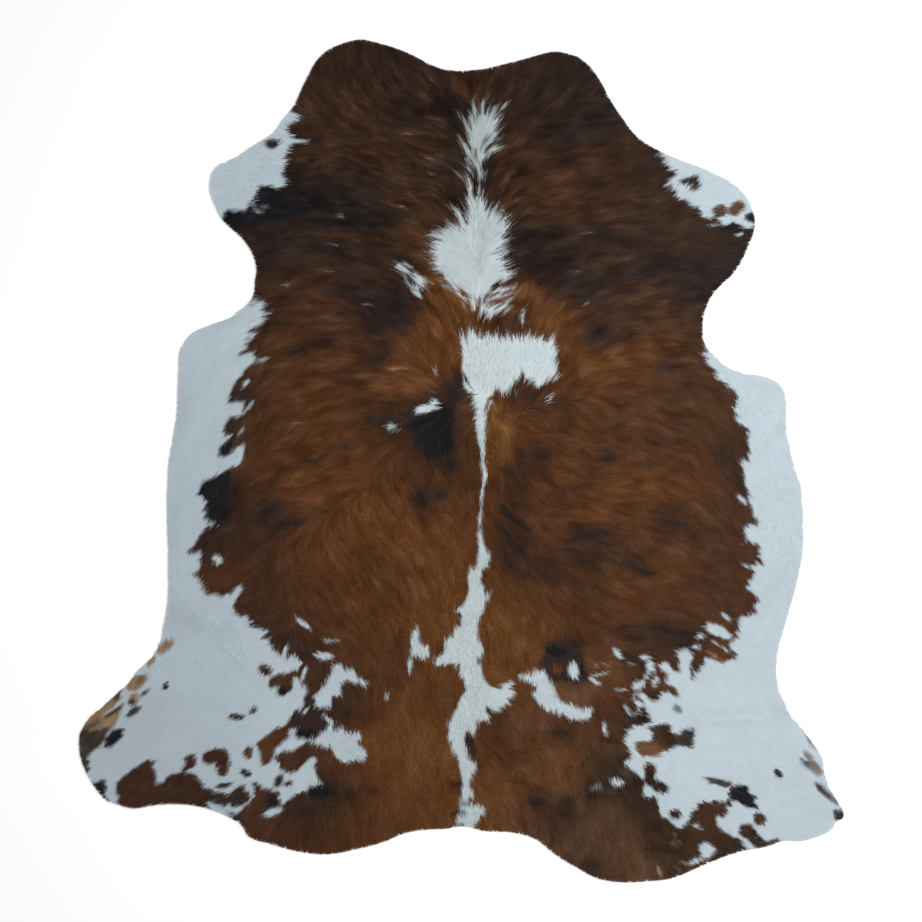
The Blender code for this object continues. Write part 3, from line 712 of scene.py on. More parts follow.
# ==== Brown and brindle ====
# How light the brown hair is, from 0 for black to 1 for the warm brown beside the spine. Broad
# zones first, then the dark streaks of the brindle, which run with the hair.
# Zones: x, y in mm, tone, reach in mm.
ZONES = (
    # neck
    (-270, 1030, 0.33, 80), (-120, 1000, 0.26, 60), (-380, 960, 0.37, 60), (-250, 930, 0.41, 50),
    (-140, 910, 0.26, 45), (-350, 870, 0.39, 60), (-20, 900, 0.22, 24), (-25, 790, 0.22, 24),
    (0, 1000, 0.45, 30), (60, 990, 0.37, 40), (150, 1010, 0.35, 50), (260, 1030, 0.26, 60),
    (320, 970, 0.16, 60), (390, 900, 0.14, 50), (180, 930, 0.24, 45), (150, 870, 0.42, 40),
    (260, 850, 0.22, 50), (-130, 860, 0.39, 50), (-260, 840, 0.39, 60), (-430, 820, 0.26, 45),
    (-150, 780, 0.40, 60), (-320, 790, 0.40, 60), (210, 790, 0.43, 60), (330, 790, 0.50, 50),
    (430, 830, 0.43, 35), (500, 800, 0.24, 35), (460, 750, 0.37, 50), (350, 720, 0.39, 40),
    (90, 730, 0.37, 30),
    # shoulders
    (-400, 730, 0.16, 45), (-480, 690, 0.02, 60), (-590, 640, 0.02, 50), (-300, 700, 0.16, 50),
    (-330, 650, 0.07, 55), (-450, 640, 0.06, 60), (-215, 650, 0.09, 45), (-150, 700, 0.41, 35),
    (-280, 615, 0.04, 40), (-130, 600, 0.62, 40), (-550, 580, 0.35, 35), (-470, 560, 0.16, 50),
    (-380, 580, 0.22, 50), (-230, 585, 0.43, 40), (-110, 540, 0.40, 30), (-220, 535, 0.24, 30),
    (-330, 530, 0.35, 40), (-450, 510, 0.41, 50), (-510, 440, 0.37, 45), (-400, 450, 0.50, 50),
    (-260, 480, 0.37, 40), (-200, 470, 0.50, 25), (-160, 430, 0.04, 35), (-280, 435, 0.20, 35),
    (-230, 400, 0.22, 35), (-120, 405, 0.12, 25), (-350, 400, 0.56, 50), (-180, 355, 0.20, 35),
    (-50, 440, 0.88, 40), (-80, 380, 0.82, 45), (170, 700, 0.54, 45), (300, 670, 0.54, 60),
    (440, 690, 0.41, 45), (540, 700, 0.33, 40), (570, 640, 0.43, 40), (220, 625, 0.45, 50),
    (360, 595, 0.18, 45), (450, 570, 0.17, 40), (190, 570, 0.10, 45), (220, 530, 0.09, 40),
    (350, 545, 0.39, 40), (450, 610, 0.43, 40), (560, 580, 0.39, 45), (660, 590, 0.26, 45),
    (720, 560, 0.22, 35), (674, 652, 0.95, 18), (718, 661, 0.90, 20), (740, 600, 0.16, 24),
    (640, 545, 0.39, 35), (650, 500, 0.10, 45), (550, 505, 0.20, 40), (430, 505, 0.37, 40),
    (270, 470, 0.12, 40), (330, 440, 0.12, 35), (210, 480, 0.35, 25), (420, 440, 0.43, 45),
    (170, 430, 0.80, 35), (240, 400, 0.84, 40), (600, 420, 0.16, 35), (530, 400, 0.50, 40),
    (150, 360, 0.55, 25), (250, 350, 0.82, 40), (350, 390, 0.56, 35), (460, 370, 0.39, 35),
    (350, 330, 0.02, 26), (420, 335, 0.35, 25), (520, 340, 0.62, 50), (610, 350, 0.39, 35),
    # back and ribs
    (-100, 290, 0.84, 50), (-20, 270, 0.86, 35), (-220, 280, 0.44, 35), (-300, 320, 0.60, 40),
    (-370, 300, 0.38, 30), (-450, 310, 0.54, 45), (-540, 290, 0.46, 35), (-450, 250, 0.60, 45),
    (-330, 250, 0.64, 45), (-150, 215, 0.80, 45), (-70, 205, 0.80, 30), (-10, 195, 0.24, 26),
    (-580, 180, 0.34, 30), (-500, 190, 0.52, 45), (-380, 180, 0.68, 50), (-250, 150, 0.56, 40),
    (-180, 120, 0.42, 35), (-68, 100, 0.04, 38), (-75, 50, 0.10, 26), (-125, 95, 0.16, 20),
    (-150, 40, 0.50, 26), (-170, 105, 0.24, 18), (18, 125, 0.62, 22), (20, 60, 0.66, 26),
    (-500, 110, 0.58, 45), (-600, 70, 0.32, 30), (-400, 90, 0.67, 50), (-290, 60, 0.66, 50),
    (-500, 20, 0.60, 50), (-400, 20, 0.66, 45), (-190, 30, 0.60, 40), (-120, -20, 0.58, 35),
    (-25, 0, 0.40, 28), (-300, -50, 0.74, 55), (-410, -60, 0.74, 50), (-200, -50, 0.72, 45),
    (-540, -50, 0.56, 45), (-640, -80, 0.06, 40), (-640, -130, 0.16, 32), (-95, -100, 0.22, 28),
    (0, -60, 0.60, 35), (-480, -150, 0.24, 38), (-570, -160, 0.38, 40), (-370, -140, 0.68, 45),
    (-280, -160, 0.80, 55), (-190, -160, 0.82, 50), (-60, -190, 0.80, 55), (20, -150, 0.72, 35),
    (-640, -210, 0.28, 35), (-540, -220, 0.44, 45), (-420, -230, 0.70, 50), (-310, -240, 0.80, 40),
    (-240, -265, 0.58, 30), (-610, -300, 0.56, 45), (-520, -300, 0.46, 40), (-400, -300, 0.62, 50),
    (-290, -320, 0.70, 45), (-170, -300, 0.74, 50), (-50, -300, 0.86, 50), (350, 270, 0.82, 45),
    (270, 220, 0.72, 35), (450, 280, 0.78, 45), (560, 300, 0.62, 40), (540, 242, 0.40, 28),
    (630, 240, 0.54, 35), (380, 220, 0.82, 40), (480, 215, 0.70, 40), (660, 190, 0.48, 35),
    (100, 130, 0.92, 22), (95, 60, 1.02, 26), (95, 0, 0.92, 26), (160, 165, 0.50, 30),
    (220, 150, 0.46, 28), (160, 90, 0.76, 32), (250, 110, 0.66, 35), (300, 190, 0.56, 30),
    (340, 110, 0.62, 40), (430, 160, 0.60, 40), (530, 150, 0.56, 40), (640, 130, 0.58, 45),
    (710, 90, 0.46, 30), (420, 70, 0.60, 45), (530, 80, 0.56, 45), (640, 60, 0.58, 40),
    (200, 15, 0.34, 24), (300, 30, 0.64, 40), (380, 5, 0.38, 22), (480, 20, 0.58, 40),
    (590, 10, 0.58, 40), (690, 0, 0.40, 35), (735, -60, 0.38, 30), (140, -45, 0.44, 35),
    (240, -40, 0.72, 35), (330, -60, 0.56, 35), (430, -60, 0.79, 50), (540, -60, 0.74, 45),
    (630, -60, 0.68, 45), (250, -90, 0.56, 30), (330, -130, 0.84, 30), (80, -90, 0.70, 30),
    (140, -150, 0.46, 30), (210, -140, 0.66, 40), (430, -150, 0.62, 40), (540, -150, 0.36, 35),
    (620, -150, 0.58, 35), (710, -150, 0.52, 40), (150, -230, 0.44, 30), (230, -210, 0.62, 35),
    (320, -205, 0.28, 32), (400, -205, 0.46, 28), (480, -205, 0.60, 35), (600, -210, 0.52, 35),
    (700, -230, 0.48, 40), (240, -280, 0.44, 40), (160, -300, 0.44, 28), (340, -260, 0.40, 30),
    (450, -275, 0.36, 32), (540, -270, 0.68, 40), (640, -280, 0.56, 40), (420, -325, 0.78, 35),
    (520, -330, 0.66, 45), (720, -330, 0.56, 40),
    # loin, hips and rump
    (-560, -380, 0.40, 35), (-480, -380, 0.52, 40), (-380, -380, 0.62, 45), (-280, -400, 0.70, 50),
    (-170, -400, 0.76, 50), (-60, -400, 0.86, 45), (-490, -455, 0.34, 30), (-420, -470, 0.48, 35),
    (-400, -505, 0.30, 28), (-300, -470, 0.64, 45), (-210, -500, 0.68, 45), (-190, -545, 0.50, 20),
    (-60, -560, 0.80, 40), (-380, -560, 0.48, 30), (-310, -620, 0.36, 42), (-385, -655, 0.16, 18),
    (-260, -640, 0.50, 35), (-180, -620, 0.72, 45), (-80, -620, 0.68, 35), (-150, -730, 0.92, 80),
    (-60, -780, 0.90, 50), (-200, -820, 0.80, 50), (-310, -820, 0.62, 40), (-355, -860, 0.08, 28),
    (-290, -870, 0.40, 30), (-230, -860, 0.66, 25), (-100, -850, 0.83, 50), (-430, -910, 0.34, 40),
    (-350, -910, 0.40, 35), (-500, -950, 0.52, 40), (-400, -980, 0.54, 45), (-280, -950, 0.66, 50),
    (-180, -920, 0.73, 50), (-80, -920, 0.78, 45), (-8, -850, 0.34, 12), (100, -350, 0.76, 40),
    (180, -370, 0.74, 40), (280, -360, 0.56, 40), (360, -370, 0.54, 30), (450, -390, 0.68, 45),
    (580, -380, 0.60, 50), (680, -390, 0.54, 35), (110, -430, 0.94, 45), (200, -430, 0.80, 45),
    (300, -420, 0.64, 40), (380, -430, 0.54, 30), (500, -450, 0.24, 35), (590, -470, 0.22, 34),
    (660, -480, 0.64, 30), (695, -505, 0.62, 26), (640, -505, 0.62, 24), (100, -520, 0.88, 40),
    (170, -510, 0.84, 35), (270, -495, 0.22, 24), (253, -538, 0.92, 14), (300, -572, 0.30, 16),
    (345, -515, 0.78, 22), (380, -490, 0.64, 28), (460, -495, 0.54, 28), (530, -500, 0.54, 28),
    (525, -575, 0.64, 22), (550, -600, 0.62, 20), (440, -520, 0.26, 20), (410, -550, 0.80, 28),
    (460, -560, 0.44, 20), (295, -605, 0.94, 26), (400, -620, 0.66, 40), (470, -670, 0.26, 28),
    (420, -665, 0.44, 20), (150, -610, 0.76, 35), (200, -660, 0.80, 35), (90, -672, 0.48, 20),
    (260, -710, 0.44, 28), (180, -710, 0.72, 35), (90, -730, 0.70, 35), (250, -780, 0.86, 50),
    (340, -720, 0.66, 30), (400, -745, 0.54, 30), (488, -745, 1.04, 24), (540, -715, 0.34, 24),
    (512, -704, 0.40, 14), (160, -790, 0.66, 35), (90, -790, 0.70, 30), (80, -860, 0.88, 40),
    (170, -840, 0.78, 30), (260, -840, 0.80, 35), (440, -815, 0.08, 24), (350, -820, 0.46, 28),
    (345, -868, 0.30, 18), (400, -862, 0.20, 20), (455, -850, 0.28, 24), (430, -870, 0.46, 30),
    (195, -890, 0.34, 22), (275, -905, 0.28, 26), (330, -920, 0.70, 35), (480, -895, 0.26, 26),
    (410, -930, 0.54, 35), (110, -930, 0.82, 40), (190, -950, 0.68, 30), (250, -955, 0.48, 25),
    (-860, -850, 0.43, 60), (-740, -865, 0.41, 60), (-650, -880, 0.36, 40), (-705, -785, 0.42, 30),
    (-645, -775, 0.46, 30), (-495, -738, 0.66, 30), (-440, -782, 0.46, 35), (-470, -572, 0.52, 30),
    (-512, -545, 0.46, 24), (300, -1000, 0.68, 35), (350, -1040, 0.50, 35), (400, -990, 0.74, 40),
    (445, -1050, 0.74, 35), (385, -940, 0.66, 30), (500, -960, 0.36, 26), (530, -1010, 0.42, 30),
    (600, -1010, 0.40, 28), (560, -960, 0.44, 22), (640, -940, 0.46, 35),
)
# Brindle: dark or light streaks over the zones: x, y, length and width in mm, heading in
# degrees, and tone.
Streak = namedtuple("Streak", "x y length width heading tone")
STREAKS = [Streak(*row) for row in (
    (-420, 680, 200, 70, 0, 0.06), (-280, 660, 260, 56, -4, 0.09), (-260, 620, 220, 18, -3, 0.01),
    (-300, 588, 260, 22, -4, 0.46), (-380, 560, 180, 14, -3, 0.04), (-505, 535, 90, 46, 0, 0.14),
    (-350, 522, 200, 22, -6, 0.28), (-250, 424, 160, 24, -10, 0.03), (-165, 385, 90, 26, -50, 0.06),
    (-145, 682, 110, 26, 14, 0.66), (-130, 905, 150, 44, -8, 0.16), (-290, 950, 150, 50, 0, 0.50),
    (-230, 805, 330, 60, 0, 0.50), (335, 940, 180, 90, -60, 0.18), (200, 915, 120, 44, -10, 0.22),
    (265, 850, 130, 44, -10, 0.21), (400, 820, 120, 24, 10, 0.50), (205, 545, 150, 76, -25, 0.15),
    (310, 455, 120, 26, -35, 0.08), (380, 583, 170, 22, -4, 0.10), (560, 502, 240, 38, 4, 0.04),
    (600, 430, 90, 24, -10, 0.10), (-80, 950, 140, 44, 100, 0.40), (-31, 925, 210, 15, 91, 0.03),
    (-22, 790, 150, 16, 95, 0.07), (-8, 975, 90, 16, 90, 0.62), (45, 985, 80, 50, 70, 0.50),
    (-95, 855, 90, 26, 170, 0.42), (-330, 620, 170, 16, 3, 0.04), (-200, 640, 110, 18, -8, 0.07),
    (-360, 560, 90, 20, -5, 0.09), (-250, 520, 90, 12, -12, 0.12), (-260, 445, 110, 22, -14, 0.07),
    (-200, 375, 120, 24, -32, 0.09), (-240, 350, 60, 12, -25, 0.17), (-370, 310, 90, 14, 8, 0.14),
    (-420, 290, 70, 12, 25, 0.17), (-215, 270, 70, 26, 30, 0.17), (-330, 215, 90, 12, -14, 0.30),
    (-380, 225, 30, 14, 20, 0.17), (-388, 0, 46, 8, -12, 0.06), (-355, 14, 46, 9, 32, 0.07),
    (-300, 10, 60, 28, 10, 0.40), (-300, 40, 40, 10, 35, 0.30), (-440, -160, 90, 20, 14, 0.13),
    (-360, -133, 60, 10, 2, 0.36), (-500, -125, 60, 22, 28, 0.14), (-470, 30, 40, 10, 30, 0.36),
    (-505, -75, 60, 12, 40, 0.38), (-430, -310, 60, 10, -35, 0.40), (-110, -95, 40, 34, 10, 0.09),
    (-55, -88, 30, 24, 20, 0.11), (-30, -8, 34, 30, 0, 0.12), (-20, 190, 60, 46, 60, 0.11),
    (-210, 105, 60, 18, -10, 0.11), (-190, -120, 60, 10, -45, 0.52), (-210, -70, 60, 14, -60, 0.60),
    (-160, -300, 70, 10, -62, 0.52), (-130, -260, 70, 10, -58, 0.56),
    (-230, -430, 90, 9, -50, 0.50), (-180, -440, 80, 9, -60, 0.54), (290, 850, 120, 26, 4, 0.11),
    (210, 905, 60, 22, -20, 0.13), (370, 870, 90, 22, 12, 0.13), (380, 775, 90, 10, 14, 0.19),
    (360, 720, 50, 16, 10, 0.14), (480, 665, 50, 20, 0, 0.17), (350, 590, 90, 26, -4, 0.11),
    (440, 572, 90, 18, -6, 0.12), (190, 560, 110, 30, 12, 0.13), (220, 500, 90, 26, 14, 0.08),
    (320, 460, 120, 14, 8, 0.08), (300, 430, 90, 14, 10, 0.11), (550, 512, 120, 14, 6, 0.14),
    (640, 470, 110, 20, -4, 0.10), (600, 425, 90, 20, -8, 0.12), (640, 530, 50, 26, 0, 0.12),
    (355, 335, 46, 30, 40, 0.02), (400, 310, 110, 10, 22, 0.19), (455, 385, 90, 12, 30, 0.30),
    (330, 390, 60, 12, 48, 0.52), (140, 372, 30, 14, 60, 0.34), (540, 246, 60, 16, 4, 0.19),
    (580, 240, 60, 10, -10, 0.38), (650, 188, 90, 14, -24, 0.32), (410, 198, 50, 12, 8, 0.42),
    (440, 165, 70, 10, 0, 0.40), (500, 170, 80, 10, -12, 0.50), (560, 155, 60, 14, -4, 0.40),
    (530, 125, 80, 9, -6, 0.42), (575, 95, 60, 10, -18, 0.38), (405, 90, 40, 18, 30, 0.40),
    (320, 45, 26, 14, 60, 0.50), (425, 58, 40, 16, 0, 0.40), (510, 45, 60, 12, 0, 0.40),
    (208, 18, 40, 30, 20, 0.13), (378, 5, 46, 16, 0, 0.14), (470, -6, 60, 9, -8, 0.40),
    (565, -25, 50, 14, 0, 0.38), (680, 10, 60, 26, -60, 0.19), (725, -40, 70, 18, -70, 0.30),
    (120, -25, 60, 12, -20, 0.36), (155, -25, 50, 12, -60, 0.32), (320, -65, 80, 12, 8, 0.34),
    (250, -85, 40, 26, 0, 0.36), (340, -98, 60, 9, 0, 0.50), (120, -140, 70, 16, -50, 0.11),
    (155, -165, 90, 16, -45, 0.10), (125, -200, 90, 16, -55, 0.10), (160, -240, 90, 16, -52, 0.11),
    (120, -255, 60, 14, -60, 0.14), (-68, 92, 120, 76, 85, 0.02), (330, -195, 70, 26, 10, 0.11),
    (370, -215, 70, 12, 0, 0.17), (440, -272, 100, 16, -32, 0.15), (390, -240, 60, 14, -35, 0.62),
    (480, -292, 50, 12, -8, 0.18), (545, -160, 60, 22, -20, 0.15), (535, -122, 40, 10, 0, 0.38),
    (590, -208, 60, 10, 6, 0.38), (650, -130, 50, 12, -42, 0.34), (655, -180, 40, 14, 0, 0.38),
    (360, -335, 90, 9, -38, 0.38), (400, -355, 40, 8, -35, 0.34), (300, -290, 80, 26, -30, 0.62),
    (560, -445, 190, 16, -9, 0.08), (450, -462, 60, 12, -4, 0.13), (415, -437, 50, 10, 20, 0.18),
    (590, -480, 80, 12, -14, 0.14), (270, -480, 100, 22, 8, 0.09), (214, -520, 50, 16, 70, 0.13),
    (440, -512, 50, 14, -14, 0.12), (475, -535, 20, 26, 60, 0.11), (470, -670, 70, 24, -6, 0.12),
    (255, -710, 60, 20, -8, 0.32), (120, -765, 120, 7, 10, 0.38), (85, -760, 80, 7, -42, 0.40),
    (160, -805, 70, 14, 6, 0.86), (150, -838, 100, 9, -8, 0.38), (190, -838, 60, 12, 14, 0.92),
    (210, -862, 50, 9, -16, 0.30), (200, -890, 34, 22, 0, 0.15), (275, -888, 36, 20, 20, 0.14),
    (270, -918, 40, 16, 0, 0.13), (345, -872, 36, 12, 10, 0.10), (440, -812, 34, 24, 30, 0.06),
    (480, -895, 50, 20, 20, 0.11), (500, -955, 40, 28, 0, 0.17), (550, -990, 60, 12, -20, 0.15),
    (530, -1015, 90, 14, -8, 0.19), (340, -1050, 50, 24, 0, 0.32), (330, -780, 60, 8, 45, 0.38),
    (390, -730, 60, 14, -4, 0.36), (-350, -860, 66, 34, -10, 0.02), (-290, -870, 30, 24, 0, 0.19),
    (-230, -862, 34, 20, 0, 0.42), (-310, -660, 40, 30, 0, 0.30), (-80, -620, 50, 16, 0, 0.58),
    (-490, -885, 40, 36, 10, 0.04), (-400, -915, 70, 22, 8, 0.19), (-460, -465, 40, 26, 30, 0.15),
    (-405, -505, 50, 14, 0, 0.14), (-5, -840, 8, 60, 88, 0.11), (-8, -920, 8, 60, 90, 0.09),
)]
STREAK_BLUR = 0.45        # how ragged a streak's edge is
STREAK_WEIGHT = 0.95      # how fully its tone covers what lies under it
STREAK_AT_EDGE, STREAK_SLOPE = 0.35, 0.8     # its share at its edge, and how fast that grows
BRINDLE = ((fine_comb, 0.050), (mid_comb, 0.060), (broad_comb, 0.055), (mottle, 0.035))
TONE_TURN = 0.2           # how far that grain changes the tone itself
CLUMP_LIGHT_AND_SHADE = 1.5               # and how far it paints light onto the hair's clumps and shade between them

# Where the brown is duller, with grey and fawn hair mixed in: x, y, share, reach.
DULL_ZONES = (
    (-200, 950, 0.5, 100), (-300, 850, 0.45, 90), (-150, 780, 0.5, 80), (0, 960, 0.2, 50),
    (250, 950, 0.4, 110), (250, 780, 0.2, 90), (-400, 650, 0.2, 90), (-300, 600, 0.2, 80),
    (-400, 450, 0.1, 100), (400, 450, 0.2, 120), (-200, 380, 0.2, 60), (450, 600, 0.3, 80),
    (520, 620, 0.8, 40), (520, 740, 0.8, 40), (674, 652, 1.0, 24), (718, 661, 0.7, 24),
    (-400, 100, 0.0, 150), (400, 100, 0.0, 150), (-300, -300, 0.0, 150), (400, -300, 0.0, 150),
    (0, 300, 0.1, 100), (60, -400, 0.0, 100), (-150, -730, 0.15, 120), (-400, -950, 0.1, 100),
    (300, -1000, 1.0, 80), (420, -930, 1.0, 50), (440, -1030, 0.7, 40), (500, -1030, 0.9, 70),
    (250, -780, 0.4, 80), (100, -850, 0.2, 60), (300, -610, 0.9, 30), (370, -850, 1.0, 40),
    (450, -840, 1.0, 36), (350, -510, 0.5, 30), (540, -720, 0.8, 50), (500, -820, 0.9, 30),
    (440, -530, 0.3, 40), (640, -940, 0.2, 60), (-480, -740, 0.5, 50), (-440, -790, 0.3, 40),
    (-320, -620, 0.3, 50), (-760, -860, 0.2, 90),
)
DULL_GRAIN = 0.08         # how patchy that is
CLEAR_BELOW = 0.04        # dullness too slight to count
DULL_COLOUR = (1.0, 0.50, 0.26)    # green and blue of the dull brown, beside its red

# The white is not even either: how light it is beside the brightest, which lies on the bar. Its
# zones are darker on the left, partly painted shade of the light falling from the right.
# Zones and streaks with the same columns as the brown's.
WHITE_ZONES_AND_SHADE = (
    (140, 270, 1.02, 80), (30, 560, 0.88, 90), (60, 880, 0.78, 70), (-580, 720, 0.85, 90),
    (600, 760, 0.88, 90), (-650, 250, 0.81, 110), (-720, 0, 0.77, 110), (-720, -250, 0.77, 110),
    (-650, -520, 0.77, 120), (-750, -700, 0.71, 120), (-900, -800, 0.73, 90), (780, 150, 0.88, 120),
    (830, -100, 0.87, 120), (790, -450, 0.84, 120), (700, -700, 0.88, 120), (850, -900, 0.86, 120),
    (55, 50, 0.95, 60), (80, -620, 0.91, 100), (20, -850, 0.86, 80), (-380, -600, 0.84, 100),
    (-350, -740, 0.82, 80),
)
# Painted shade in the white's folds, creases and partings, and painted highlights beside some of
# them.
WHITE_FOLD_SHADE_AND_HIGHLIGHTS = [Streak(*row) for row in (
    (-722, 140, 150, 50, 80, 0.70), (-615, 368, 90, 24, 25, 0.73), (-750, -150, 120, 44, 88, 0.70),
    (-728, -412, 120, 76, -60, 0.68), (-665, -396, 130, 10, -50, 0.64),
    (-622, -436, 76, 30, -40, 0.70), (-640, -418, 110, 8, -42, 0.90),
    (-606, -502, 150, 7, -46, 0.68), (-600, -494, 140, 6, -46, 0.84), (832, 90, 36, 22, 60, 0.76),
    (855, -307, 54, 16, 10, 0.79), (790, -478, 56, 20, 0, 0.79), (842, -655, 76, 26, -15, 0.78),
    (720, -683, 190, 9, 2, 0.80), (720, -669, 190, 10, 2, 0.93), (58, 590, 70, 12, 80, 0.74),
    (48, 530, 70, 10, 92, 0.76), (36, 610, 60, 10, 100, 0.94), (-560, 690, 70, 8, 40, 0.78),
    (-610, 700, 80, 8, 55, 0.79),
)]
WHITE_GRAIN = ((fine_comb, 0.006), (mid_comb, 0.010), (broad_comb, 0.012), (mottle, 0.010))
grain_share = hair_share(spread=18, least=0.45, most=1.7)     # long hair parts into clumps


def lay(chart, streaks):
    """Draws each streak onto a chart of tones, ragged at its edge."""
    for streak in streaks:
        beside, depth = spot_cells(streak)
        depth = depth / (min(streak.width, streak.length) / 2) + STREAK_BLUR * ragged[beside]
        laid = STREAK_WEIGHT * np.clip(depth * STREAK_SLOPE + STREAK_AT_EDGE, 0, 1)
        chart[beside] += (streak.tone - chart[beside]) * laid


def grain_of(parts):
    return sum(strength * comb for comb, strength in parts) * grain_share


tone_chart = charted(ZONES)
lay(tone_chart, STREAKS)
tone_chart += TONE_TURN * grain_of(BRINDLE)
# painted light and shade: the same grain makes the hair's clumps lighter and the gaps between them
# darker
painted_clump_light = np.exp(CLUMP_LIGHT_AND_SHADE * grain_of(BRINDLE))
dull_chart = charted(DULL_ZONES) - CLEAR_BELOW + DULL_GRAIN * (broad_comb + mottle)
dull_chart = np.clip(dull_chart, 0, 1)
# the white's tone, with painted shade on its left side
white_tone_and_shade = charted(WHITE_ZONES_AND_SHADE)
# painted shade of folds and creases, and painted highlights
lay(white_tone_and_shade, WHITE_FOLD_SHADE_AND_HIGHLIGHTS)
white_tone_and_shade += grain_of(WHITE_GRAIN)

# Colours as seen in even light, red, green and blue from 0 to 255.
TONES = ((0.0, (12, 10, 12)), (0.12, (33, 24, 21)), (0.25, (42, 28, 22)), (0.45, (57, 35, 21)),
         (0.70, (79, 46, 20)), (0.80, (91, 54, 24)), (1.0, (103, 66, 27)))
KIND_COLOURS = {
    WHITE: (188, 199, 201), DARK: (46, 33, 29), BLACK: (20, 19, 22), TAN: (124, 102, 80),
    TAUPE: (51, 43, 36), GREY: (104, 112, 120),
}
COOL_WHITE = (187, 200, 208)
MIXED_KINDS = (TAN, TAUPE, GREY)
MIXED_CLUMP_LIGHT = 2.6         # white and dark hairs stand side by side there, so the painted clump light and shade is made this much stronger and streakier
EDGE_BLEND = 3.2          # mm over which fine hairs of two kinds mix at a marking's edge
MIXED_FROM = ((0, 0), (1, 0), (-1, 0), (0, 1), (0, -1))     # the places mixed, in that measure
PAINTED_SHEEN = 0.0078            # painted sheen: the hair's surface light, which the painted clump light and shade scales with the colour under it
DARKEST = 0.001
BACKBONE_X, BELLY_OFF = 60.0, 600.0     # mm: the white turns cooler from the backbone outward


def linear(colour):
    """A screen colour from 0 to 255 as the light it stands for, by the sRGB curve."""
    share = np.asarray(colour, float) / 255
    return np.where(share <= 0.04045, share / 12.92, ((share + 0.055) / 1.055) ** 2.4)


def coat_colour(kind, tone, x, y):
    """The hair's colour at each place, by its kind and, where it is brown or white, its tone."""
    steps = [step for step, _ in TONES]
    stops = linear([colour for _, colour in TONES])
    colour = np.stack([np.interp(tone, steps, stops[:, band]) for band in range(3)], axis=-1)
    dull = on_chart(dull_chart, x, y)[:, None]
    colour += dull * (colour[:, :1] * DULL_COLOUR - colour)
    for one, screen in KIND_COLOURS.items():
        colour[kind == one] = linear(screen)
    white = kind == WHITE
    # brown, dark and mixed hair is multiplied by the painted light and shade of the clumps
    painted_light = on_chart(painted_clump_light, x, y) ** np.where(np.isin(kind, MIXED_KINDS), MIXED_CLUMP_LIGHT, 1)
    painted_light = painted_light[~white, None]
    colour[~white] = np.maximum((colour[~white] + PAINTED_SHEEN) * painted_light - PAINTED_SHEEN, DARKEST)
    cool = np.clip(abs(x[white] - BACKBONE_X) / BELLY_OFF, 0, 1)[:, None]
    colour[white] += cool * (linear(COOL_WHITE) - colour[white])
    colour[white] *= tone[white][:, None]
    return colour


def kind_at(x, y):
    """The kind of hair in the chart cell nearest each point."""
    column = np.clip(np.round((x - low[0]) / CELL).astype(int), 0, len(columns) - 1)
    row = np.clip(np.round((y - low[1]) / CELL).astype(int), 0, len(rows) - 1)
    return kind_chart[row, column]


def tone_at(kind, x, y):
    return np.where(kind == WHITE, on_chart(white_tone_and_shade, x, y), on_chart(tone_chart, x, y))


def mixed_colour(x, y):
    """The coat's colour, with the hair just beside each point mixed in."""
    mixed = 0
    for off_x, off_y in MIXED_FROM:
        near_x, near_y = x + off_x * EDGE_BLEND, y + off_y * EDGE_BLEND
        kind = kind_at(near_x, near_y)
        colour = coat_colour(kind, tone_at(kind, near_x, near_y), near_x, near_y)
        mixed = mixed + colour / len(MIXED_FROM)
    return mixed


# ==== The skin ====
# One hide, tanned with the hair on, about 2.5 mm of leather, trimmed to its natural outline with
# a knife. Its top is dyed by the roots of the hair, and its underside is buffed to suede.
LEATHER = 2.5             # mm
SKIN_SHARE = 0.3          # share of the coat's swells and creases that the skin itself takes
SKIN_CELL = 12.0          # mm between the skin's modelled points
SKIN_INSET = 4.0          # the hair hangs this far over the cut edge
KNIFE_REACH = 0.02        # metres that the knife reaches below the floor and above it
SMOOTH_UNDER = 50         # degrees: flatter edges are shaded smooth
FACES_UP = 0.5            # how high a face's normal points at least on the hair side
SUEDE = (176, 160, 140)
CUT_EDGE = (196, 182, 160)


class Link:
    """A shader socket that takes part in Python sums: each operator adds its Math node."""

    def __init__(self, nodes, socket):
        self.nodes, self.socket = nodes, socket

    def add(self, kind, settings=None, inputs=None, output=0):
        """A node of any kind: its settings first, then the values or links of its sockets."""
        node = self.nodes.new(kind)
        for name, value in (settings or {}).items():
            setattr(node, name, value)
        for name, value in (inputs or {}).items():
            if isinstance(value, Link):
                self.nodes.id_data.links.new(value.socket, node.inputs[name])
            else:
                node.inputs[name].default_value = value
        return Link(self.nodes, node.outputs[output])

    def math(self, operation, one, other):
        return self.add("ShaderNodeMath", {"operation": operation}, {0: one, 1: other})

    def __add__(self, other):
        return self.math("ADD", self, other)

    def __mul__(self, other):
        return self.math("MULTIPLY", self, other)

    def __sub__(self, other):
        return self.math("SUBTRACT", self, other)

    def __rsub__(self, other):
        return self.math("SUBTRACT", other, self)

    __radd__, __rmul__ = __add__, __mul__

    def scaled(self, strength):
        """A colour made lighter or darker by a factor that may change over the surface."""
        return self.add(
            "ShaderNodeVectorMath", {"operation": "SCALE"}, {0: self, "Scale": strength}
        )

    def noise(self, scale, detail, dimensions="3D", distortion=0.0):
        """Noise from 0 to 1, read at this place."""
        return self.add("ShaderNodeTexNoise", {"noise_dimensions": dimensions}, {
            "Vector": self, "Scale": scale, "Detail": detail, "Distortion": distortion})

    def between(self, one, other):
        """A colour between two others, by how far this is from 0 to 1."""
        one_at, other_at, colour_out = 6, 7, 2     # a Mix node's own numbers for them
        return self.add("ShaderNodeMix", {"data_type": "RGBA"}, {
            "Factor": self, one_at: (*one, 1), other_at: (*other, 1)}, output=colour_out)


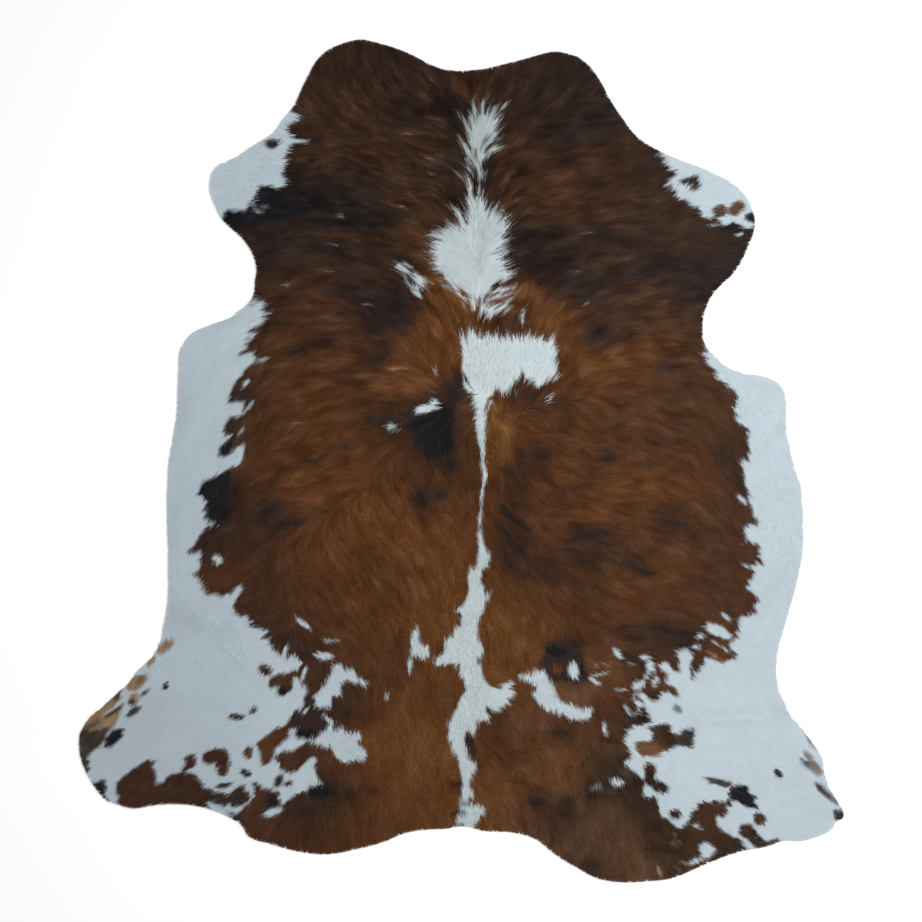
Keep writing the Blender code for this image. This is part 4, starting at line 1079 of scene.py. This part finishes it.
def new_material(name, roughness, specular):
    """A material and the two ends of its tree: a start for sums, and its shader."""
    material = bpy.data.materials.new(name)
    material.use_nodes = True
    shader = material.node_tree.nodes["Principled BSDF"]
    shader.inputs["Roughness"].default_value = roughness
    shader.inputs["Specular IOR Level"].default_value = specular
    return material, Link(material.node_tree.nodes, None), shader


def feed(shader, name, link):
    shader.id_data.links.new(link.socket, shader.inputs[name])


def add_relief(shader, height, strength, distance):
    """Fine relief on a surface: its height from 0 to 1, and what 1 is in metres."""
    feed(shader, "Normal", height.add("ShaderNodeBump", {}, {
        "Strength": strength, "Distance": distance, "Height": height}))


def deselect():
    bpy.ops.object.select_all(action="DESELECT")


def select_only(target):
    deselect()
    bpy.context.view_layer.objects.active = target
    target.select_set(True)


def turn_outward():
    """Turns every face of the mesh being edited outward, and ends the editing."""
    bpy.ops.mesh.select_all(action="SELECT")
    bpy.ops.mesh.normals_make_consistent(inside=False)
    bpy.ops.object.mode_set(mode="OBJECT")


def inset_ring(ring, inset):
    """A ring moved in from its edge, corner by corner."""
    run = np.roll(ring, -1, axis=0) - np.roll(ring, 1, axis=0)
    side = np.stack([-run[:, 1], run[:, 0]], axis=1) / np.hypot(run[:, :1], run[:, 1:])
    turn = 1 if depth_inside(*(ring[:1] + side[:1]).T, ring)[0] > 0 else -1
    return ring + turn * inset * side


skin_ring = inset_ring(rim, SKIN_INSET)
skin_area = abs(np.sum(skin_ring[:, 0] * np.roll(skin_ring[:, 1], -1)
                       - skin_ring[:, 1] * np.roll(skin_ring[:, 0], -1))) / 2e6
skin_size = (skin_ring.max(axis=0) - skin_ring.min(axis=0)) / 1000
slab_size = skin_size + 2 * SKIN_CELL / 1000

deselect()
bpy.ops.mesh.primitive_grid_add(
    x_subdivisions=round(slab_size[0] * 1000 / SKIN_CELL),
    y_subdivisions=round(slab_size[1] * 1000 / SKIN_CELL),
    size=1,
    location=(*(skin_ring.max(axis=0) + skin_ring.min(axis=0)) / 2000, LEATHER / 1000),
)
skin = bpy.context.object
skin.name = skin.data.name = "skin"
skin.scale = (*slab_size, 1)
bpy.ops.object.transform_apply(location=True, rotation=False, scale=True)
bpy.ops.object.mode_set(mode="EDIT")
bpy.ops.mesh.select_mode(type="EDGE")
bpy.ops.mesh.select_all(action="DESELECT")
bpy.ops.mesh.select_non_manifold()
bpy.ops.mesh.extrude_region_move(TRANSFORM_OT_translate={"value": (0, 0, -LEATHER / 1000)})
bpy.ops.mesh.edge_face_add()
turn_outward()

knife_mesh = bpy.data.meshes.new("knife")
knife_mesh.from_pydata([(x / 1000, y / 1000, -KNIFE_REACH) for x, y in skin_ring], [],
                       [range(len(skin_ring))])
knife = bpy.data.objects.new("knife", knife_mesh)
bpy.context.scene.collection.objects.link(knife)
select_only(knife)
bpy.ops.object.mode_set(mode="EDIT")
bpy.ops.mesh.select_all(action="SELECT")
bpy.ops.mesh.extrude_region_move(TRANSFORM_OT_translate={"value": (0, 0, 2 * KNIFE_REACH)})
turn_outward()

select_only(skin)
trim = skin.modifiers.new("trim", "BOOLEAN")
trim.operation = "INTERSECT"
trim.solver = "EXACT"
trim.object = knife
bpy.ops.object.modifier_apply(modifier="trim")
bpy.data.objects.remove(knife)

skin_points = np.empty(len(skin.data.vertices) * 3)
skin.data.vertices.foreach_get("co", skin_points)
skin_points = skin_points.reshape(-1, 3)
skin_x, skin_y = skin_points[:, 0] * 1000, skin_points[:, 1] * 1000
is_top = skin_points[:, 2] > LEATHER / 2000


def skin_height(x, y):
    """Height of the leather's hair side in mm."""
    return LEATHER + SKIN_SHARE * np.maximum(on_chart(top_height, x, y) - LEATHER, 0)


skin_points[is_top, 2] = skin_height(skin_x, skin_y)[is_top] / 1000
skin.data.vertices.foreach_set("co", skin_points.ravel())
skin_kind = kind_at(skin_x, skin_y)
skin_colour = coat_colour(skin_kind, tone_at(skin_kind, skin_x, skin_y), skin_x, skin_y)
skin_tint = skin.data.attributes.new("hair_colour", "FLOAT_COLOR", "POINT")
skin_tint.data.foreach_set("color", np.c_[skin_colour, np.ones(len(skin_colour))].ravel())
skin.data.shade_smooth()
skin.data.set_sharp_from_angle(angle=math.radians(SMOOTH_UNDER))

# the roots speckle the hair side in the coat's own colour
haired_top, start, shader = new_material("haired_top", roughness=0.7, specular=0.3)
roots = start.add("ShaderNodeTexCoord", output="Object").noise(scale=420.0, detail=3.0)
tint = start.add("ShaderNodeAttribute", {"attribute_name": "hair_colour"})
feed(shader, "Base Color", tint.scaled(0.88 + roots * 0.14))
add_relief(shader, roots, strength=0.4, distance=0.0008)

# the underside is clouded between two pale tans, with a fine nap and faint veins
suede, start, shader = new_material("suede_underside", roughness=0.9, specular=0.15)
position = start.add("ShaderNodeTexCoord", output="Object")
nap = position.noise(scale=900.0, detail=4.0)
cloud = position.noise(scale=7.0, detail=3.0)
veins = position.noise(scale=34.0, detail=5.0, distortion=1.6)
hide_tan = cloud.between(linear(SUEDE), linear(CUT_EDGE))
feed(shader, "Base Color", hide_tan.scaled(0.72 + nap * 0.28 + veins * 0.26))
feed(shader, "Roughness", 0.84 + nap * 0.14)
add_relief(shader, nap + veins * 0.6, strength=0.5, distance=0.0006)

skin.data.materials.append(haired_top)
skin.data.materials.append(suede)
for face in skin.data.polygons:
    face.material_index = 0 if face.normal.z > FACES_UP else 1

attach(skin, "root")
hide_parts("hide")

# ==== The hair ====
# Straight guard hair in flat pointed locks over a shorter underhair, all lying down with the lie.
# Each kind of hair is one joined piece, rooted in the skin wherever the coat is of that kind.
# Coat rows: piece, its kinds of hair and, for brown, its tones; mm between roots, share of the
# full length, width in mm; the ridge's height by the width, the tip's height in the coat; how
# much the colour varies, the shade of the roots, how softly it is lit; and the seed.
Coat = namedtuple("Coat", "piece kinds tones spacing length width ridge rise varied root_shade "
                  "softness seed")
PALE_KINDS = (WHITE, TAN, TAUPE, GREY)
BROWN_KINDS = (BROWN,)
DARK_KINDS = (BROWN, DARK, BLACK)
DARK_BELOW = 0.44
ANY_TONE, LIGHTER, DARKER = (-9, 9), (DARK_BELOW, 9), (-9, DARK_BELOW)
COATS = [Coat(*row) for row in (
    ("white_underhair", PALE_KINDS, ANY_TONE, 4.7, 0.85, 3.4, 0.04, 0.45, 0.02, 0.98, 0.80, 11),
    ("white_guard_hair", PALE_KINDS, ANY_TONE, 4.7, 1.05, 2.2, 0.06, 0.66, 0.03, 0.98, 0.75, 12),
    ("brown_underhair", BROWN_KINDS, LIGHTER, 7.3, 0.75, 3.9, 0.12, 0.60, 0.05, 0.84, 0.45, 13),
    ("brown_mid_hair", BROWN_KINDS, LIGHTER, 6.7, 0.85, 2.9, 0.16, 0.76, 0.08, 0.80, 0.40, 14),
    ("brown_guard_hair", BROWN_KINDS, LIGHTER, 5.8, 1.00, 2.1, 0.20, 0.94, 0.13, 0.78, 0.35, 15),
    ("brindle_underhair", DARK_KINDS, DARKER, 5.8, 0.80, 3.5, 0.14, 0.62, 0.06, 0.84, 0.45, 16),
    ("brindle_guard_hair", DARK_KINDS, DARKER, 4.7, 1.00, 2.2, 0.20, 0.94, 0.15, 0.80, 0.35, 17),
)]
MOST_LOCKS = 46000        # a piece's locks, at four triangles each
OVER_RIM = 2.5            # mm that a tip may reach past the solid's rim
STRAY = 6.0               # degrees that a lock strays from the lie
WIDEST = 0.42             # where along its length a lock is widest
SEEN_AT = 0.50            # where along a lock its colour is read, as the roots are hidden
FRINGE = 0.005            # how far long locks mix at the edge of a marking, for each mm of hair
ROOT_EDGE = 0.7           # share of the skin's inset in which no hair is rooted
LENGTH_SPREAD = (0.8, 1.2)
WIDTH_SPREAD = (0.75, 1.25)
RISE_SPREAD = (0.82, 1.08)
COLOUR_LIMITS = (0.5, 1.6)     # how dark and how light a lock may vary
ROOT_SUNK = 0.3           # mm that the roots are sunk into the skin
TIP_SHADE = 1.06
WAIST_SHADED = 0.4        # how much of the roots' shade is left at the widest place
PATTERN_WIDTH = 900       # mm of strand pattern that the locks take their own piece of
STRANDS_ACROSS, STRANDS_ALONG = 2.4, 0.05     # strands to a mm across a lock, and along it
SHINE_SPREAD = 0.16       # how far the roughness changes from strand to strand
STRAND_HEIGHT = 0.0003    # metres


def lock_roots(coat, dice):
    """Places on a jittered grid all over the hide, kept back a little from its rim, in mm."""
    x, y = np.meshgrid(np.arange(low[0], high[0], coat.spacing),
                       np.arange(low[1], high[1], coat.spacing))
    x = x + dice.uniform(-0.5, 0.5, x.shape) * coat.spacing
    y = y + dice.uniform(-0.5, 0.5, y.shape) * coat.spacing
    inside = on_chart(rim_depth, x, y) > SKIN_INSET * ROOT_EDGE
    return x[inside], y[inside]


def grow(coat):
    """The locks of one kind of hair: their roots, tips and colours, all as arrays."""
    dice = np.random.default_rng(coat.seed)
    x, y = lock_roots(coat, dice)
    toward_x, toward_y = normed(on_chart(lie_x, x, y), on_chart(lie_y, x, y))
    length = on_chart(length_chart, x, y) * coat.length * dice.uniform(*LENGTH_SPREAD, x.shape)
    mid_x, mid_y = x + toward_x * length / 2, y + toward_y * length / 2
    toward_x, toward_y = normed(on_chart(lie_x, mid_x, mid_y), on_chart(lie_y, mid_x, mid_y))
    stray = np.radians(dice.normal(0, STRAY, x.shape))
    toward_x, toward_y = turned(toward_x, toward_y, stray)
    at_root = on_chart(rim_depth, x, y) + OVER_RIM
    at_tip = on_chart(rim_depth, x + toward_x * length, y + toward_y * length) + OVER_RIM
    over = at_tip < 0
    length[over] *= (at_root / (at_root - at_tip))[over]
    seen = length * SEEN_AT + dice.uniform(-FRINGE, FRINGE, x.shape) * length**2
    seen_x, seen_y = x + toward_x * seen, y + toward_y * seen
    kind = kind_at(seen_x, seen_y)
    tone = tone_at(kind, seen_x, seen_y)
    belongs = np.isin(kind, coat.kinds)
    is_brown = kind == BROWN
    belongs &= ~is_brown | ((tone >= coat.tones[0]) & (tone < coat.tones[1]))
    chosen = np.flatnonzero(belongs)
    if len(chosen) > MOST_LOCKS:
        chosen = np.sort(dice.choice(chosen, MOST_LOCKS, replace=False))
    colour = mixed_colour(seen_x[chosen], seen_y[chosen])
    colour *= dice.normal(1, coat.varied, (len(chosen), 1)).clip(*COLOUR_LIMITS)
    root = np.stack([x[chosen], y[chosen]], axis=1)
    toward = np.stack([toward_x[chosen], toward_y[chosen]], axis=1)
    return root, toward, length[chosen], colour, dice


def lock_mesh(coat):
    """Every lock of a kind as one mesh: a thin leaf, widest partway along, closed all round."""
    root, toward, length, colour, dice = grow(coat)
    count = len(root)
    width = coat.width * dice.uniform(*WIDTH_SPREAD, count)
    side = np.stack([-toward[:, 1], toward[:, 0]], axis=1)
    tip = root + toward * length[:, None]
    floor = skin_height(root[:, 0], root[:, 1]) - ROOT_SUNK
    top = on_chart(top_height, tip[:, 0], tip[:, 1])
    tip_floor = skin_height(tip[:, 0], tip[:, 1])
    rise = coat.rise * dice.uniform(*RISE_SPREAD, count)
    tip_height = tip_floor + (top - tip_floor) * rise
    waist = root + toward * (length * WIDEST)[:, None]
    corners = np.empty((count, 4, 3))
    corners[:, 0, :2] = waist + side * width[:, None] / 2
    corners[:, 1, :2] = waist - side * width[:, None] / 2
    corners[:, 2, :2] = root
    corners[:, 3, :2] = tip
    corners[:, :2, 2] = (floor + (tip_height - floor) * WIDEST + width * coat.ridge)[:, None]
    corners[:, 2, 2] = floor
    corners[:, 3, 2] = tip_height
    # two faces on the underside, then the two that the light reaches
    faces = np.array(((2, 0, 3), (2, 3, 1), (2, 1, 0), (3, 0, 1)))
    loops = (faces[None] + 4 * np.arange(count)[:, None, None]).ravel()
    mesh = bpy.data.meshes.new(coat.piece)
    mesh.vertices.add(4 * count)
    mesh.vertices.foreach_set("co", (corners / 1000).ravel())
    mesh.loops.add(len(loops))
    mesh.loops.foreach_set("vertex_index", loops)
    mesh.polygons.add(4 * count)
    mesh.polygons.foreach_set("loop_start", np.arange(0, 12 * count, 3))
    mesh.update(calc_edges=True)

    waist_shade = 1 + (coat.root_shade - 1) * WAIST_SHADED
    shade = np.array((waist_shade, waist_shade, coat.root_shade, TIP_SHADE))
    tint = np.ones((count, 4, 4))
    tint[:, :, :3] = colour[:, None] * shade[None, :, None]
    mesh.attributes.new("hair_colour", "FLOAT_COLOR", "POINT").data.foreach_set(
        "color", tint.ravel())

    # each lock has a tile of its own on the flat map: its underside at the left, its top right
    tiles = math.ceil(math.sqrt(count))
    tile = np.array((
        (0.12, 0.04), (0.04, 0.42), (0.12, 0.96), (0.12, 0.04), (0.12, 0.96), (0.20, 0.42),
        (0.62, 0.04), (0.96, 0.42), (0.28, 0.42), (0.62, 0.96), (0.28, 0.42), (0.96, 0.42),
    ))
    index = np.arange(count)
    corner = np.stack([index % tiles, index // tiles], axis=1)
    flat = (tile[None] + corner[:, None]) / tiles
    mesh.uv_layers.new(name="OFBake").data.foreach_set("uv", flat.ravel())

    # and its own length of a strand pattern, in mm across and along
    root_at, tip_at, left_at, right_at = (0, 0), (0, 1), (-0.5, WIDEST), (0.5, WIDEST)
    strand = np.array((
        root_at, left_at, tip_at, root_at, tip_at, right_at,
        root_at, right_at, left_at, tip_at, left_at, right_at,
    ))
    strand = strand[None] * np.stack([width, length], axis=1)[:, None]
    strand[:, :, 0] += dice.uniform(0, PATTERN_WIDTH, count)[:, None]
    mesh.uv_layers.new(name="strands").data.foreach_set("uv", strand.ravel())

    # the lit sides are shaded partly as the flat coat that they lie in, which keeps it soft
    normals = np.empty(12 * count)
    mesh.polygons.foreach_get("normal", normals)
    normals = np.repeat(normals.reshape(count, 4, 3), 3, axis=1)
    normals[:, 6:] += coat.softness / (1 - coat.softness) * np.array((0, 0, 1))
    normals /= np.linalg.norm(normals, axis=2, keepdims=True)
    mesh.normals_split_custom_set(normals.reshape(-1, 3))
    return mesh


def hair_material(name, roughness, specular, streak, relief):
    """Hair of one kind: its own colour, broken into single strands along the lock."""
    material, start, shader = new_material(name, roughness, specular)
    along = start.add("ShaderNodeUVMap", {"uv_map": "strands"})
    drawn = start.add("ShaderNodeMapping", {}, {
        "Vector": along, "Scale": (STRANDS_ACROSS, STRANDS_ALONG, 1.0)})
    strands = drawn.noise(scale=1.0, detail=2.0, dimensions="2D")
    tint = start.add("ShaderNodeAttribute", {"attribute_name": "hair_colour"})
    feed(shader, "Base Color", tint.scaled(1 - streak / 2 + strands * streak))
    feed(shader, "Roughness", roughness - SHINE_SPREAD / 2 + strands * SHINE_SPREAD)
    add_relief(shader, strands, relief, STRAND_HEIGHT)
    return material


# Name, roughness, specular, how far the strands change the colour, and how far they stand out.
HAIR_FINISHES = {
    "white": hair_material("white_hair", 0.62, 0.08, 0.06, 0.08),
    "brown": hair_material("brown_hair", 0.58, 0.07, 0.32, 0.30),
    "brindle": hair_material("dark_hair", 0.55, 0.07, 0.36, 0.30),
}
for coat in COATS:
    hair = bpy.data.objects.new(coat.piece, lock_mesh(coat))
    bpy.context.scene.collection.objects.link(hair)
    hair.data.materials.append(HAIR_FINISHES[coat.piece.split("_")[0]])
    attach(hair, "root")

# ==== Floor, light and camera ====
# A plain pale floor under even studio light: a white sky, a key lamp at the right and a weaker
# fill at the left. The camera hangs straight above the hide, with all of it in the picture.
FLOOR_SIZE = 14.0
FLOOR_DROP = 0.0004       # metres that the floor lies below the hide, so that they don't touch
SKY_LIGHT = 0.46
CAMERA_HEIGHT = 3.2
FRAME_PIXELS, PIXEL = 922, 0.0026128     # the picture's width, and metres of hide to a pixel
LENS_LEFT = 0.0013        # metres that the picture's middle lies left of the hide's
deselect()
bpy.ops.mesh.primitive_plane_add(size=FLOOR_SIZE, location=(0, 0, -FLOOR_DROP))
floor = bpy.context.object
floor.name = "floor"
bpy.ops.object.transform_apply(location=True, rotation=False, scale=False)
floor_paint, start, shader = new_material("floor_paint", roughness=0.85, specular=0.2)
clouds = start.add("ShaderNodeTexCoord", output="Object").noise(scale=3.0, detail=2.0)
feed(shader, "Base Color", clouds.between((0.96, 0.96, 0.96), (0.98, 0.98, 0.98)))
floor.data.materials.append(floor_paint)

world = bpy.data.worlds.new("studio")
world.use_nodes = True
sky = world.node_tree.nodes["Background"]
sky.inputs["Color"].default_value = (1.0, 1.0, 1.0, 1)
sky.inputs["Strength"].default_value = SKY_LIGHT
bpy.context.scene.world = world
Lamp = namedtuple("Lamp", "name place watts size colour")
LAMPS = (
    Lamp("key", (2.3, 0.4, 3.5), 152, 2.6, (1.0, 1.0, 1.0)),
    Lamp("fill", (-2.2, -0.8, 4.2), 40, 3.0, (1.0, 1.0, 1.0)),
)
for lamp in LAMPS:
    light = bpy.data.lights.new(lamp.name, "AREA")
    light.energy, light.size, light.color = lamp.watts, lamp.size, lamp.colour
    holder = bpy.data.objects.new(lamp.name, light)
    holder.location = lamp.place
    holder.rotation_euler = Vector(lamp.place).to_track_quat("Z", "Y").to_euler()
    bpy.context.scene.collection.objects.link(holder)

middle = (cad_box[0] + cad_box[1]) / 2
lens = bpy.data.cameras.new("camera")
lens.sensor_fit = "HORIZONTAL"
lens.angle = 2 * math.atan(FRAME_PIXELS * PIXEL / 2 / (CAMERA_HEIGHT - middle.z))
camera = bpy.data.objects.new("camera", lens)
camera.location = (middle.x - LENS_LEFT, middle.y, CAMERA_HEIGHT)
bpy.context.scene.collection.objects.link(camera)
bpy.context.scene.camera = camera
bpy.context.scene.view_settings.view_transform = "Standard"
